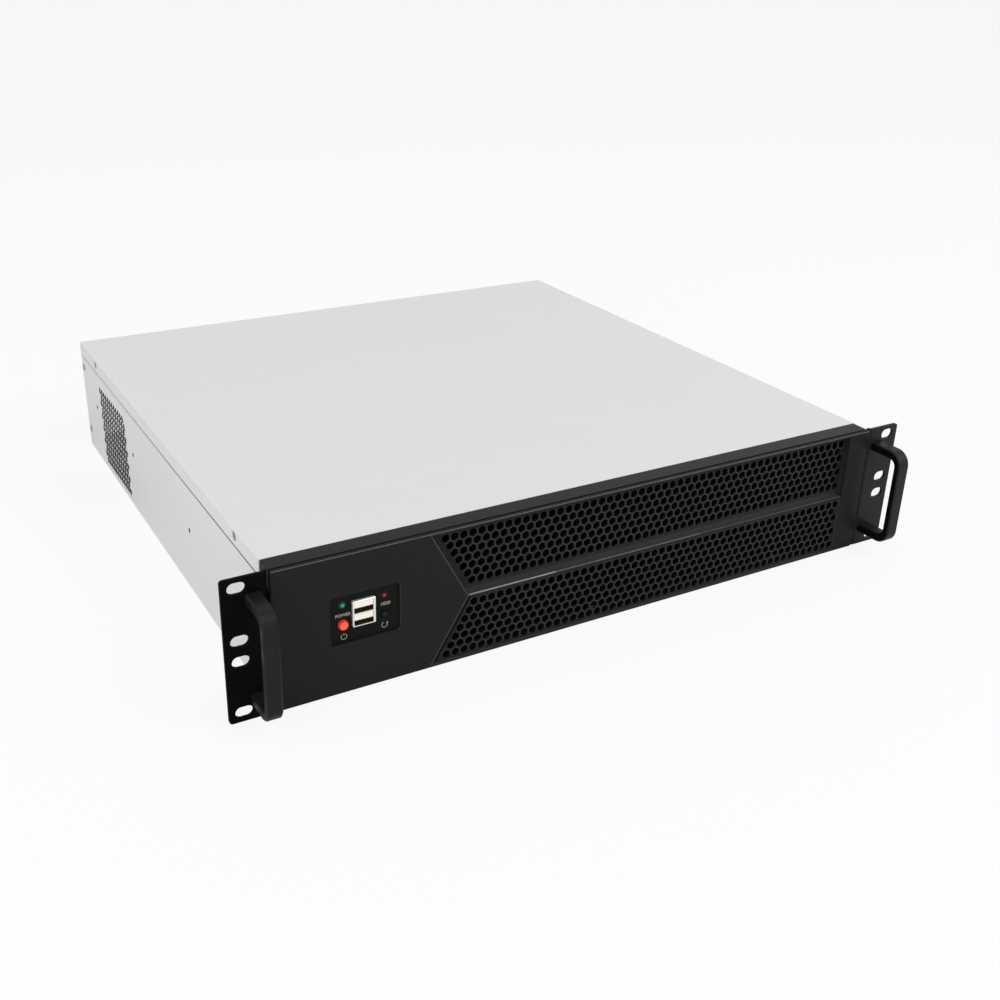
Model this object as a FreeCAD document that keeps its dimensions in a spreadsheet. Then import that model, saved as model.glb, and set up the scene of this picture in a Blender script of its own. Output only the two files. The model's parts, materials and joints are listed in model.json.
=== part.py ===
"""Empty 2U rack-mount server case: sheet-steel body, formed mesh bezel, ears, handles and brackets.

Frame: X to the right seen from the front, Y to the rear, Z up, in millimetres. The origin is the
centre of the rack-slot pattern, on the rear face of the ears, which meets the rack's rails. Every
sub-part is drawn with Z measured from the base plane and placed half a panel height lower.
"""
import FreeCAD, Part
import math
import os
import Sketcher

Vector = FreeCAD.Vector

# Every size that can be set by itself, in millimetres unless its name says otherwise.
SIZES = {
    # 19-inch rack panel
    "ear_reach": 26.3,
    "panel_lap": 0.1,
    "rack_slot_inset": 8.75,
    "outer_slot_spread": 76.2,
    "inner_slot_spread": 12.7,
    "rack_slot_length": 10.3,
    "rack_slot_height": 7.0,
    "ear_thickness": 2.0,
    "ear_bend_radius": 1.0,
    "ear_leg": 24.0,
    "ear_leg_rise": 60.0,
    "ear_corner_radius": 2.0,
    # body
    "body_width": 430.0,
    "body_height": 88.0,
    "overall_depth": 420.0,
    "sheet": 1.2,
    "bend_radius": 1.6,
    "fit_gap": 0.2,
    "seam_gap": 0.4,
    "cover_flange": 10.0,
    "wall_flange": 14.0,
    # rail holes, vent and rivets of the side walls
    "rail_hole_radius": 1.7,
    "rail_hole_height": 46.0,
    "rail_hole_front": 142.0,
    "rail_hole_middle": 274.0,
    "rail_hole_rear_inset": 38.5,
    "vent_inset": 89.5,
    "vent_height": 37.0,
    "vent_length": 75.0,
    "vent_rise": 62.0,
    "rivet_radius": 1.6,
    "rivet_head_radius": 3.0,
    "rivet_head": 0.8,
    "rivet_inset": 6.2,
    "rivet_low": 16.5,
    "rivet_drop": 9.0,
    # screws
    "screw_radius": 1.5,
    "screw_head_radius": 2.8,
    "screw_length": 5.0,
    "screw_clearance": 0.15,
    "cover_screw_front": 51.0,
    "cover_screw_rear_inset": 49.0,
    "cover_screw_drop": 4.0,
    "ear_screw_radius": 2.0,
    "ear_screw_head_radius": 3.6,
    "ear_screw_head": 2.0,
    "ear_screw_length": 7.0,
    "ear_screw_setback": 17.0,
    "ear_screw_spread": 24.0,
    # bezel
    "bezel_sheet": 1.2,
    "bezel_proud": 1.0,
    "bezel_return": 14.6,
    "bezel_side_gap": 0.4,
    "lower_recess": 1.0,
    "upper_recess": 4.0,
    "ledge_height": 43.8,
    "ledge_rise": 3.6,
    "recess_right_inset": 19.0,
    "recess_arrow_inset": 122.0,
    "recess_upper_inset": 101.4,
    "recess_lower_inset": 98.0,
    "recess_edge": 2.6,
    "recess_slope": 1.0,
    "mesh_margin": 1.2,
    "mesh_ledge_margin": 2.6,
    "hex_pitch": 9.2,
    "hex_web": 1.5,
    "filter_thickness": 3.0,
    # control window and what stands in it
    "window_inset": 54.5,
    "window_height": 47.5,
    "window_width": 42.0,
    "window_rise": 30.0,
    "window_radius": 2.0,
    "plate_thickness": 1.5,
    "plate_margin": 3.0,
    "post_radius": 2.0,
    "board_setback": 8.5,
    "board_screw_head": 1.2,
    "board_thickness": 1.6,
    "usb_width": 13.9,
    "usb_rise": 16.2,
    "usb_proud": 1.6,
    "usb_wall": 0.5,
    "usb_mouth": 5.4,
    "usb_pitch": 7.6,
    "usb_depth": 9.0,
    "usb_tongue": 1.8,
    "control_offset": 0.9,
    "usb_lift": 1.9,
    "indicator_radius": 1.6,
    "indicator_proud": 0.8,
    "control_spread": 12.6,
    "indicator_lift": 8.9,
    "button_lift": -3.3,
    "power_button_radius": 3.1,
    "power_button_proud": 2.6,
    "reset_button_radius": 2.3,
    "reset_button_proud": 1.2,
    "button_travel": 1.2,
    "button_gap": 0.25,
    "button_collar": 0.7,
    "button_stem_radius": 1.2,
    "switch_side": 6.0,
    "switch_depth": 3.5,
    # handles
    "handle_stand": 9.0,
    "handle_width": 9.0,
    "handle_reach": 26.0,
    "handle_height": 68.0,
    "handle_arm": 6.0,
    "handle_bar": 5.0,
    "handle_corner_radius": 10.0,
    "handle_bevel": 0.8,
    "handle_screw_radius": 2.0,
    "handle_screw_head_radius": 3.7,
    "handle_screw_head": 1.6,
    "handle_screw_length": 10.0,
    # rear panel
    "connector_width": 158.75,
    "connector_rise": 44.45,
    "connector_edge": 6.0,
    "connector_floor": 6.5,
    "card_pitch": 20.32,
    "card_opening": 14.0,
    "card_floor": 9.0,
    "card_headroom": 16.0,
    "card_screw_lift": 5.0,
    "card_cover_lap": 3.0,
    "card_cover": 1.0,
    "card_cover_width": 18.4,
    "card_first_gap": 12.0,
    "card_supply_gap": 8.0,
    "supply_width": 100.0,
    "supply_rise": 70.0,
    "supply_edge": 10.0,
    "supply_floor": 7.5,
    "supply_hole_radius": 1.9,
    "supply_hole_offset": 4.5,
    # inside
    "standoff_height": 6.5,
    "standoff_flats": 5.0,
    "standoff_bore": 1.4,
    "board_hole_edge": 16.0,
    "board_hole_rear": 18.0,
    "board_column_middle": 157.48,
    "board_column_last": 281.94,
    "board_row_middle": 154.94,
    "board_row_last": 227.33,
    "drive_width": 102.4,
    "drive_length": 140.0,
    "drive_rise": 58.0,
    "drive_edge": 14.0,
    "drive_setback": 22.0,
    "drive_foot": 9.0,
    "fan_side": 80.0,
    "fan_opening_radius": 38.0,
    "fan_setback": 60.0,
    "fan_drive_gap": 3.0,
    "fan_spacing": 82.0,
    "fan_lip": 10.0,
    "fan_hole_spread": 71.5,
    "fan_hole_radius": 2.2,
    "fan_headroom": 3.1,
    "supply_bracket_setback": 150.0,
    "supply_bracket_rise": 30.0,
    "supply_bracket_foot": 14.0,
    "supply_bracket_length": 60.0,
    "bezel_screw_spacing": 150.0,
    "bezel_screw_setback": 6.5,
    "drive_hole_radius": 1.8,
    "drive_hole_height": 12.0,
    "drive_hole_spacing": 60.0,
    "foot_screw_inset": 5.0,
    "foot_screw_head": 1.5,
}
FANS = 3

doc = FreeCAD.newDocument("rack_case")
sheet = doc.addObject("Spreadsheet::Sheet", "Sizes")
for row, (alias, number) in enumerate(SIZES.items(), start=1):
    sheet.set("A%d" % row, alias)
    sheet.set("B%d" % row, str(number))
    sheet.setAlias("B%d" % row, alias)
doc.recompute()


class Size:
    """A sheet value, or a sum of sheet values: its number and the expression that gives it."""

    def __init__(self, number, text):
        self.number = float(number)
        self.text = text

    def __float__(self):
        return self.number

    def __add__(self, other):
        other = sized(other)
        return Size(self.number + other.number, "(%s + %s)" % (self.text, other.text))

    def __sub__(self, other):
        other = sized(other)
        return Size(self.number - other.number, "(%s - %s)" % (self.text, other.text))

    def __mul__(self, other):
        other = sized(other)
        return Size(self.number * other.number, "(%s * %s)" % (self.text, other.text))

    def __truediv__(self, other):
        other = sized(other)
        return Size(self.number / other.number, "(%s / %s)" % (self.text, other.text))

    def __neg__(self):
        return Size(-self.number, "(0 - %s)" % self.text)

    def __radd__(self, other):
        return sized(other) + self

    def __rsub__(self, other):
        return sized(other) - self

    def __rmul__(self, other):
        return sized(other) * self


def sized(value):
    """A Size as it is, or a plain number as a Size."""
    if isinstance(value, Size):
        return value
    return Size(value, repr(float(value)))


class Sheet:
    """Reads each alias of the spreadsheet as a Size."""

    def __getattr__(self, alias):
        return Size(sheet.get(alias), "Sizes." + alias)


S = Sheet()
parts = []


def bind(target, path, value):
    """Ties one property of an object to the sheet."""
    target.setExpression(path, sized(value).text)


def place(target, at):
    """Ties an object's position to the sheet."""
    for axis, value in zip("xyz", at):
        bind(target, "Placement.Base." + axis, value)


def sub_part(target, label):
    """Names a finished sub-part and lowers it so that the panel's middle is at Z = 0."""
    target.Label = label
    place(target, (0, 0, -panel_height / 2))
    parts.append(target)
    return target


# Part primitives and booleans, with their sizes tied to the sheet.
TURNS = {
    "+x": FreeCAD.Rotation(Vector(0, 1, 0), 90),
    "-x": FreeCAD.Rotation(Vector(0, 1, 0), -90),
    "+y": FreeCAD.Rotation(Vector(1, 0, 0), -90),
    "-y": FreeCAD.Rotation(Vector(1, 0, 0), 90),
    "+z": FreeCAD.Rotation(),
    "-z": FreeCAD.Rotation(Vector(1, 0, 0), 180),
}


def box(name, low, high):
    """A box between two corners."""
    made = doc.addObject("Part::Box", name)
    for path, start, end in zip(("Length", "Width", "Height"), low, high):
        bind(made, path, sized(end) - start)
    place(made, low)
    return made


def cylinder(name, base, axis, radius, height):
    """A cylinder that grows from its base along an axis."""
    made = doc.addObject("Part::Cylinder", name)
    bind(made, "Radius", radius)
    bind(made, "Height", height)
    made.Placement = FreeCAD.Placement(Vector(), TURNS[axis])
    place(made, base)
    return made


def cone(name, base, axis, base_radius, end_radius, height):
    """A cone that grows from its base along an axis."""
    made = doc.addObject("Part::Cone", name)
    bind(made, "Radius1", base_radius)
    bind(made, "Radius2", end_radius)
    bind(made, "Height", height)
    made.Placement = FreeCAD.Placement(Vector(), TURNS[axis])
    place(made, base)
    return made


def fuse(name, shapes):
    made = doc.addObject("Part::MultiFuse", name)
    made.Shapes = shapes
    return made


def cut(name, base, tools):
    """The base less all the tools."""
    made = doc.addObject("Part::Cut", name)
    made.Base = base
    made.Tool = tools[0] if len(tools) == 1 else fuse(name + "_tools", tools)
    return made


def group(name, solids):
    """Separate equal solids that share one sub-part."""
    made = doc.addObject("Part::Compound", name)
    made.Links = solids
    return made


# PartDesign bodies, whose sketches are tied to the sheet vertex by vertex.
PLANES = {"xy": "XY_Plane", "xz": "XZ_Plane", "yz": "YZ_Plane"}


def new_body(name):
    return doc.addObject("PartDesign::Body", name)


def new_sketch(body, name, plane, offset=0):
    """A sketch on one of the body's origin planes, moved along the plane's normal."""
    made = body.newObject("Sketcher::SketchObject", name)
    support = [f for f in body.Origin.OriginFeatures if f.Role == PLANES[plane]][0]
    made.AttachmentSupport = [(support, "")]
    made.MapMode = "FlatFace"
    bind(made, "AttachmentOffset.Base.z", offset)
    return made


def pin_point(sketch, geometry, point, across, up):
    """Fixes one sketch point at sheet-driven coordinates."""
    for kind, value in (("DistanceX", across), ("DistanceY", up)):
        index = sketch.addConstraint(Sketcher.Constraint(kind, -1, 1, geometry, point, float(value)))
        bind(sketch, "Constraints[%d]" % index, value)


def outline(sketch, points):
    """A closed outline of straight lines."""
    spots = [Vector(float(a), float(b), 0) for a, b in points]
    count = len(points)
    lines = [Part.LineSegment(spots[i], spots[(i + 1) % count]) for i in range(count)]
    first = sketch.addGeometry(lines)[0]
    for i in range(count):
        following = first + (i + 1) % count
        sketch.addConstraint(Sketcher.Constraint("Coincident", first + i, 2, following, 1))
    for i, (across, up) in enumerate(points):
        pin_point(sketch, first + i, 1, across, up)


def circle(sketch, across, up, radius):
    shape = Part.Circle(Vector(float(across), float(up), 0), Vector(0, 0, 1), float(radius))
    index = sketch.addGeometry(shape)
    pin_point(sketch, index, 3, across, up)
    tie = sketch.addConstraint(Sketcher.Constraint("Radius", index, float(radius)))
    bind(sketch, "Constraints[%d]" % tie, radius)


def oblong(sketch, across, up, length, height):
    """A slot with round ends, along the sketch's first axis."""
    radius = sized(height) / 2
    reach = (sized(length) - height) / 2
    x, y, r, e = float(across), float(up), float(radius), float(reach)
    normal = Vector(0, 0, 1)
    right = Part.ArcOfCircle(Part.Circle(Vector(x + e, y, 0), normal, r), -math.pi / 2, math.pi / 2)
    left = Part.ArcOfCircle(Part.Circle(Vector(x - e, y, 0), normal, r), math.pi / 2, 3 * math.pi / 2)
    top = Part.LineSegment(Vector(x + e, y + r, 0), Vector(x - e, y + r, 0))
    bottom = Part.LineSegment(Vector(x - e, y - r, 0), Vector(x + e, y - r, 0))
    first = sketch.addGeometry([right, top, left, bottom])[0]
    for a, b in ((0, 1), (1, 2), (2, 3), (3, 0)):
        sketch.addConstraint(Sketcher.Constraint("Tangent", first + a, 2, first + b, 1))
    pin_point(sketch, first, 3, sized(across) + reach, up)
    pin_point(sketch, first + 2, 3, sized(across) - reach, up)
    tie = sketch.addConstraint(Sketcher.Constraint("Radius", first, r))
    bind(sketch, "Constraints[%d]" % tie, radius)


def pad(body, sketch, length, backwards=False):
    made = body.newObject("PartDesign::Pad", sketch.Name + "_pad")
    made.Profile = sketch
    bind(made, "Length", length)
    made.Reversed = backwards
    sketch.Visibility = False
    return made


def pocket_through(body, sketch):
    """Cuts the sketch through the whole body, both ways."""
    made = body.newObject("PartDesign::Pocket", sketch.Name + "_pocket")
    made.Profile = sketch
    made.Type = "ThroughAll"
    made.Midplane = True
    return made


def round_edges(body, name, radius, wanted):
    """Fillets the edges of the body's tip that the test picks."""
    doc.recompute()
    base = body.Tip
    picked = ["Edge%d" % (i + 1) for i, edge in enumerate(base.Shape.Edges) if wanted(edge)]
    made = body.newObject("PartDesign::Fillet", name)
    made.Base = (base, picked)
    bind(made, "Radius", radius)
    return made


def bevel_edges(body, name, size, wanted):
    """Chamfers the edges of the body's tip that the test picks."""
    doc.recompute()
    base = body.Tip
    picked = ["Edge%d" % (i + 1) for i, edge in enumerate(base.Shape.Edges) if wanted(edge)]
    made = body.newObject("PartDesign::Chamfer", name)
    made.Base = (base, picked)
    bind(made, "Size", size)
    return made


def runs_along(edge, axis):
    """Whether an edge is straight and runs along an axis."""
    if not isinstance(edge.Curve, Part.Line):
        return False
    return abs(abs(edge.Curve.Direction.dot(axis)) - 1) < 1e-6


def near(edge, **at):
    """Whether an edge's middle has the given coordinates."""
    middle = edge.valueAt((edge.FirstParameter + edge.LastParameter) / 2)
    return all(abs(getattr(middle, axis) - float(value)) < 0.01 for axis, value in at.items())


X, Y, Z = Vector(1, 0, 0), Vector(0, 1, 0), Vector(0, 0, 1)

# Levels that several pieces share.
half_body = S.body_width / 2
front_face = -(S.ear_thickness + S.bezel_proud)
bezel_back = front_face + S.bezel_return
body_front = bezel_back + S.seam_gap
body_rear = front_face + S.overall_depth
body_length = body_rear - body_front
seam_height = S.body_height - S.cover_flange
jog = S.sheet + S.fit_gap
wall_top = S.body_height - S.sheet - S.fit_gap
wall_inside = half_body - S.sheet
neck_inside = half_body - jog - S.sheet
jog_floor = seam_height - S.fit_gap - jog
panel_height = S.body_height + S.panel_lap
panel_middle = panel_height / 2
panel_tip = half_body + S.ear_reach
rivet_heights = (("low", S.rivet_low), ("high", seam_height - S.rivet_drop))
cover_screw_spots = (("front", S.cover_screw_front), ("rear", body_rear - S.cover_screw_rear_inset))
recess_right = half_body - S.recess_right_inset
recess_arrow = -half_body + S.recess_arrow_inset
recess_upper_left = -half_body + S.recess_upper_inset
recess_lower_left = -half_body + S.recess_lower_inset
window_middle = -half_body + S.window_inset
card_ceiling = S.body_height - S.card_headroom
supply_left = -wall_inside + S.supply_edge
supply_right = supply_left + S.supply_width
drive_left = -wall_inside + S.drive_edge
drive_right = drive_left + S.drive_width
fan_top = wall_top - S.fan_headroom


# ---- screws and rivets -------------------------------------------------------------------
def flat_screw(name, face, axis):
    """A flat-headed screw, flush with the outside of a sheet; its axis points inwards."""
    head = cylinder(name + "_head", face, axis, S.screw_head_radius, S.sheet)
    shank = cylinder(name + "_shank", face, axis, S.screw_radius, S.screw_length)
    return fuse(name, [head, shank])


def flat_screw_seat(name, face, axis):
    """The hole that a flat screw's head lies in."""
    return cylinder(name, face, axis, S.screw_head_radius + S.screw_clearance, S.sheet * 1.5)


def screw_hole(name, face, axis, radius, depth):
    return cylinder(name, face, axis, radius + S.screw_clearance, depth)


# ---- hexagonal punching -------------------------------------------------------------------
def hexagon(across, up, flats):
    """Corners of a hexagon that stands on a corner."""
    radius = flats / math.sqrt(3)
    angles = [math.radians(30 + 60 * i) for i in range(6)]
    return [(across + radius * math.cos(a), up + radius * math.sin(a)) for a in angles]


def prism(points, to_vector, depth):
    """A straight prism on an outline of (across, up) pairs."""
    corners = [to_vector(a, b) for a, b in points]
    return Part.Face(Part.makePolygon(corners + corners[:1])).extrude(depth)


def hex_rows(low, high, left_of, right_of):
    """Centres of staggered hexagons in rows between two heights, inside a left and a right edge."""
    pitch = float(S.hex_pitch)
    flats = pitch - float(S.hex_web)
    rise = pitch * math.sqrt(3) / 2
    rows = int((high - low - flats) / rise) + 1
    start = (low + high - rise * (rows - 1)) / 2
    centres = []
    for row in range(rows):
        up = start + row * rise
        stagger = pitch / 2 * (row % 2)
        right = right_of(up) - flats / 2 - stagger
        count = int((right - left_of(up) - flats / 2) / pitch) + 1
        centres += [(right - i * pitch, up) for i in range(count)]
    return centres


# ---- body ---------------------------------------------------------------------------------
def build_tray():
    """Floor and side walls, folded from one sheet; the walls step in under the cover's flanges."""
    body = new_body("tray_body")
    profile = new_sketch(body, "tray_profile", "xz", -body_front)
    slant = S.sheet * (math.sqrt(2) - 1)
    right = [
        (half_body, 0),
        (half_body, jog_floor),
        (half_body - jog, jog_floor + jog),
        (half_body - jog, wall_top),
        (neck_inside, wall_top),
        (neck_inside, jog_floor + jog - slant),
        (wall_inside, jog_floor - slant),
        (wall_inside, S.sheet),
    ]
    outline(profile, right + [(-sized(across), up) for across, up in reversed(right)])
    pad(body, profile, body_length, backwards=True)
    round_edges(body, "tray_bends", S.bend_radius, lambda e: runs_along(e, Y) and near(e, z=0))
    rails = new_sketch(body, "rail_holes", "yz")
    for along in (S.rail_hole_front, S.rail_hole_middle, body_rear - S.rail_hole_rear_inset):
        circle(rails, along, S.rail_hole_height, S.rail_hole_radius)
    pocket_through(body, rails)

    vent = doc.addObject("Part::Feature", "vent_holes")
    low = float(S.vent_height - S.vent_rise / 2)
    high = float(S.vent_height + S.vent_rise / 2)
    vent_middle = body_rear - S.vent_inset
    front = float(vent_middle - S.vent_length / 2)
    rear = float(vent_middle + S.vent_length / 2)
    outside = -float(half_body) - 1
    through = Vector(float(S.sheet) + 2, 0, 0)
    flats = float(S.hex_pitch - S.hex_web)
    vent.Shape = Part.makeCompound([
        prism(hexagon(along, up, flats), lambda a, b: Vector(outside, a, b), through)
        for along, up in hex_rows(low, high, lambda _: front, lambda _: rear)
    ])
    tools = [vent]
    for side, axis in ((-1, "+x"), (1, "-x")):
        for level, height in rivet_heights:
            at = (side * (half_body + 1), body_rear - S.rivet_inset, height)
            tools.append(screw_hole("tray_rivet_%d_%s" % (side, level), at, axis, S.rivet_radius, 4))
        for place_name, along in cover_screw_spots:
            at = (side * (half_body + 1), along, S.body_height - S.cover_screw_drop)
            tools.append(screw_hole("tray_cover_%d_%s" % (side, place_name), at, axis, S.screw_radius, 5))
        for step in (-1, 0, 1):
            at = (side * (half_body + 1), S.ear_screw_setback, panel_middle + step * S.ear_screw_spread)
            tools.append(screw_hole("tray_ear_%d_%d" % (side, step), at, axis, S.ear_screw_radius, 4))
    for index, (across, along) in enumerate(foot_spots):
        tools.append(screw_hole("tray_foot_%d" % index, (across, along, S.sheet + 1), "-z", S.screw_radius, 4))
    return cut("chassis_tray", body, tools)


def build_cover():
    """Flat lid with a short flange down each side, held by two flat screws a side."""
    body = new_body("cover_body")
    profile = new_sketch(body, "cover_profile", "xz", -body_front)
    right = [
        (half_body, seam_height),
        (half_body, S.body_height),
    ]
    inner = [
        (-wall_inside, seam_height),
        (-wall_inside, S.body_height - S.sheet),
        (wall_inside, S.body_height - S.sheet),
        (wall_inside, seam_height),
    ]
    outline(profile, right + [(-half_body, S.body_height), (-half_body, seam_height)] + inner)
    pad(body, profile, body_length, backwards=True)
    top = float(S.body_height)
    round_edges(body, "cover_bends", S.bend_radius / 2, lambda e: runs_along(e, Y) and near(e, z=top)
                and abs(abs(e.CenterOfMass.x) - float(half_body)) < 0.01)
    seats = []
    screws = []
    for side, axis in ((-1, "+x"), (1, "-x")):
        for end, along in cover_screw_spots:
            at = (side * half_body, along, S.body_height - S.cover_screw_drop)
            outside = (side * (half_body + S.sheet / 4), along, S.body_height - S.cover_screw_drop)
            seats.append(flat_screw_seat("cover_seat_%d_%s" % (side, end), outside, axis))
            screws.append(flat_screw("cover_screw_%d_%s" % (side, end), at, axis))
    return cut("top_cover", body, seats), group("cover_screws", screws)


def end_wall(name, face, inwards):
    """A folded wall across the body, stepped to clear the neck of the side walls.

    Its plate starts at face and its side flanges run inwards along the side walls.
    """
    back = face + inwards * S.sheet
    flange_end = face + inwards * S.wall_flange
    low, high = (face, back) if inwards > 0 else (back, face)
    flange_low, flange_high = (face, flange_end) if inwards > 0 else (flange_end, face)
    wide = wall_inside - S.fit_gap
    narrow = neck_inside - S.fit_gap
    floor = S.sheet + S.fit_gap
    shoulder = jog_floor - S.sheet
    pieces = [
        box(name + "_plate", (-wide, low, floor), (wide, high, shoulder)),
        box(name + "_upper", (-narrow, low, shoulder), (narrow, high, wall_top)),
        box(name + "_top", (-narrow, flange_low, wall_top - S.sheet), (narrow, flange_high, wall_top)),
        box(name + "_foot", (-wide, flange_low, floor), (wide, flange_high, floor + S.sheet)),
    ]
    for side in (-1, 1):
        outer, inner = side * wide, side * (wide - S.sheet)
        left, right = (outer, inner) if side < 0 else (inner, outer)
        pieces.append(box(name + "_flange_%d" % side, (left, flange_low, floor), (right, flange_high, shoulder)))
    return pieces


def build_rear_panel():
    """Rear wall with the connector, card and power-supply openings, and a ledge for the card covers."""
    plate = end_wall("rear", body_rear, -1)
    deep = (body_rear - S.sheet * 2, body_rear + 1)
    connector_right = wall_inside - S.connector_edge
    tools = [box("connector_opening",
                 (connector_right - S.connector_width, deep[0], S.connector_floor),
                 (connector_right, deep[1], S.connector_floor + S.connector_rise))]
    for index, across in enumerate(card_centres()):
        tools.append(box("card_opening_%d" % (index + 1),
                         (across - S.card_opening / 2, deep[0], S.card_floor),
                         (across + S.card_opening / 2, deep[1], card_ceiling)))
    tools.append(box("supply_opening", (supply_left, deep[0], S.supply_floor),
                     (supply_right, deep[1], S.supply_floor + S.supply_rise)))
    for name, across in (("left", supply_left - S.supply_hole_offset),
                         ("right", supply_right + S.supply_hole_offset)):
        for level, height in (("low", S.supply_floor + S.supply_hole_offset),
                              ("high", S.supply_floor + S.supply_rise - S.supply_hole_offset)):
            tools.append(cylinder("supply_hole_%s_%s" % (name, level), (across, deep[0], height), "+y",
                                  S.supply_hole_radius, S.sheet * 4))
    for index, across in enumerate(card_centres()):
        at = (across, body_rear + 1, card_ceiling + S.card_screw_lift)
        tools.append(cylinder("card_seat_%d" % (index + 1), at, "-y", S.screw_head_radius + S.screw_clearance,
                              S.sheet + 2))
    for side, axis in ((-1, "+x"), (1, "-x")):
        for level, height in rivet_heights:
            at = (side * (half_body + 1), body_rear - S.rivet_inset, height)
            tools.append(screw_hole("rear_rivet_%d_%s" % (side, level), at, axis, S.rivet_radius, 6))
    return cut("rear_panel", fuse("rear_sheet", plate), tools)


def card_centres():
    """Middles of the expansion-card openings, from the connector opening towards the power supply."""
    first = wall_inside - S.connector_edge - S.connector_width - S.card_first_gap
    room = first - S.card_cover_width / 2 - supply_right - S.card_supply_gap
    return [first - index * S.card_pitch for index in range(int(float(room) / float(S.card_pitch)) + 1)]


def build_card_covers():
    """Blank strips against the inside of the rear wall, each held by one flat screw above its opening."""
    covers = []
    screws = []
    height = card_ceiling + S.card_screw_lift
    inside = body_rear - S.sheet
    half = S.card_cover_width / 2
    for index, across in enumerate(card_centres()):
        name = "card_cover_%d" % (index + 1)
        strip = box(name + "_strip", (across - half, inside - S.card_cover, S.card_floor - S.card_cover_lap),
                    (across + half, inside, height + S.card_screw_lift))
        hole = screw_hole(name + "_hole", (across, body_rear, height), "-y", S.screw_radius, S.sheet * 3)
        covers.append((name, cut(name, strip, [hole])))
        screws.append(flat_screw(name + "_screw", (across, body_rear, height), "-y"))
    return covers, group("card_cover_screws", screws)


def build_front_wall():
    """Inner front wall: windows for the air, and lips that run forward inside the bezel to hold it."""
    face = body_front + S.seam_gap
    plate = end_wall("front", face, 1)
    lip_start = front_face + S.upper_recess + S.bezel_sheet + S.fit_gap * 2
    half_lip = neck_inside - S.wall_flange
    lip_floor = S.bezel_sheet + S.fit_gap
    plate.append(box("front_lip_low", (-half_lip, lip_start, lip_floor), (half_lip, face, lip_floor + S.sheet)))
    plate.append(box("front_lip_high", (-half_lip, lip_start, wall_top - S.sheet), (half_lip, face, wall_top)))
    windows = 3
    rib = S.wall_flange / 2
    left = recess_arrow
    width = (recess_right - left - (windows - 1) * rib) / windows
    tools = []
    for index in range(windows):
        start = left + index * (width + rib)
        tools.append(box("front_window_%d" % (index + 1), (start, face - 1, S.wall_flange),
                         (start + width, face + S.sheet + 1, S.body_height - S.wall_flange)))
    cable_at = (window_middle, face - 1, S.window_height)
    tools.append(cylinder("front_cable_hole", cable_at, "+y", S.wall_flange, S.sheet + 2))
    for side, axis in ((-1, "+x"), (1, "-x")):
        for step in (-1, 0, 1):
            at = (side * (half_body + 1), S.ear_screw_setback, panel_middle + step * S.ear_screw_spread)
            tools.append(screw_hole("wall_ear_%d_%d" % (side, step), at, axis, S.ear_screw_radius, 6))
    for step in (-1, 0, 1):
        at = (step * S.bezel_screw_spacing, S.bezel_screw_setback, 0)
        tools.append(screw_hole("wall_bezel_%d" % step, at, "+z", S.screw_radius, S.screw_length))
    return cut("front_wall", fuse("front_sheet", plate), tools)


# ---- bezel --------------------------------------------------------------------------------
bezel_half = half_body - S.bezel_side_gap
ledge_low = S.ledge_height - S.ledge_rise / 2
ledge_high = S.ledge_height + S.ledge_rise / 2
recess_high = S.body_height - S.recess_edge
control_middle = window_middle - S.control_offset
plate_front = front_face + S.bezel_sheet
plate_back = plate_front + S.plate_thickness
board_front = plate_back + S.board_setback
board_back = board_front + S.board_thickness


def rounded_block(name, low, high, radius):
    """A block whose four edges along Y are rounded."""
    (x0, y0, z0), (x1, y1, z1) = low, high
    pieces = [
        box(name + "_wide", (x0, y0, z0 + radius), (x1, y1, z1 - radius)),
        box(name + "_tall", (x0 + radius, y0, z0), (x1 - radius, y1, z1)),
    ]
    for side, across in enumerate((x0 + radius, x1 - radius)):
        for level, height in enumerate((z0 + radius, z1 - radius)):
            pieces.append(cylinder("%s_corner_%d%d" % (name, side, level), (across, y0, height), "+y",
                                   radius, y1 - y0))
    return fuse(name, pieces)


def upper_outline(slope, low, grow):
    """Deep recess: slanting left end, ledge below."""
    tip = (recess_arrow - slope - grow, low)
    right = recess_right + slope + grow
    top = recess_high + slope + grow
    return [tip, (right, low), (right, top), (recess_upper_left - slope - grow, top)]


def lower_outline(slope, grow):
    """Shallow recess: slanting left end, ledge above."""
    tip = (recess_arrow - slope - grow, ledge_low)
    right = recess_right + slope + grow
    bottom = S.recess_edge - slope - grow
    return [(recess_lower_left - slope - grow, bottom), (right, bottom), (right, ledge_low), tip]


def recessed_block(name, setback, grow, ledge_grow):
    """The bezel's block with its two recesses, drawn some way inside the outer skin."""
    body = new_body(name)
    half = bezel_half - setback
    block = new_sketch(body, name + "_block", "xz", -(front_face + setback))
    outline(block, [(-half, setback), (half, setback), (half, S.body_height - setback),
                    (-half, S.body_height - setback)])
    pad(body, block, S.bezel_return, backwards=True)
    fall = S.ledge_rise * S.lower_recess / (S.upper_recess - S.lower_recess)
    steps = {
        "upper": (S.upper_recess, upper_outline(S.recess_slope, ledge_low - fall - ledge_grow, grow),
                  upper_outline(sized(0), ledge_high - ledge_grow, grow)),
        "lower": (S.lower_recess, lower_outline(S.recess_slope, grow), lower_outline(sized(0), grow)),
    }
    for level, (depth, mouth, floor) in steps.items():
        front = new_sketch(body, "%s_%s_mouth" % (name, level), "xz", -(front_face + setback))
        outline(front, mouth)
        back = new_sketch(body, "%s_%s_floor" % (name, level), "xz", -(front_face + setback + depth))
        outline(back, floor)
        loft = body.newObject("PartDesign::SubtractiveLoft", "%s_%s_recess" % (name, level))
        loft.Profile = front
        loft.Sections = [back]
        loft.Ruled = True
    return body


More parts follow.
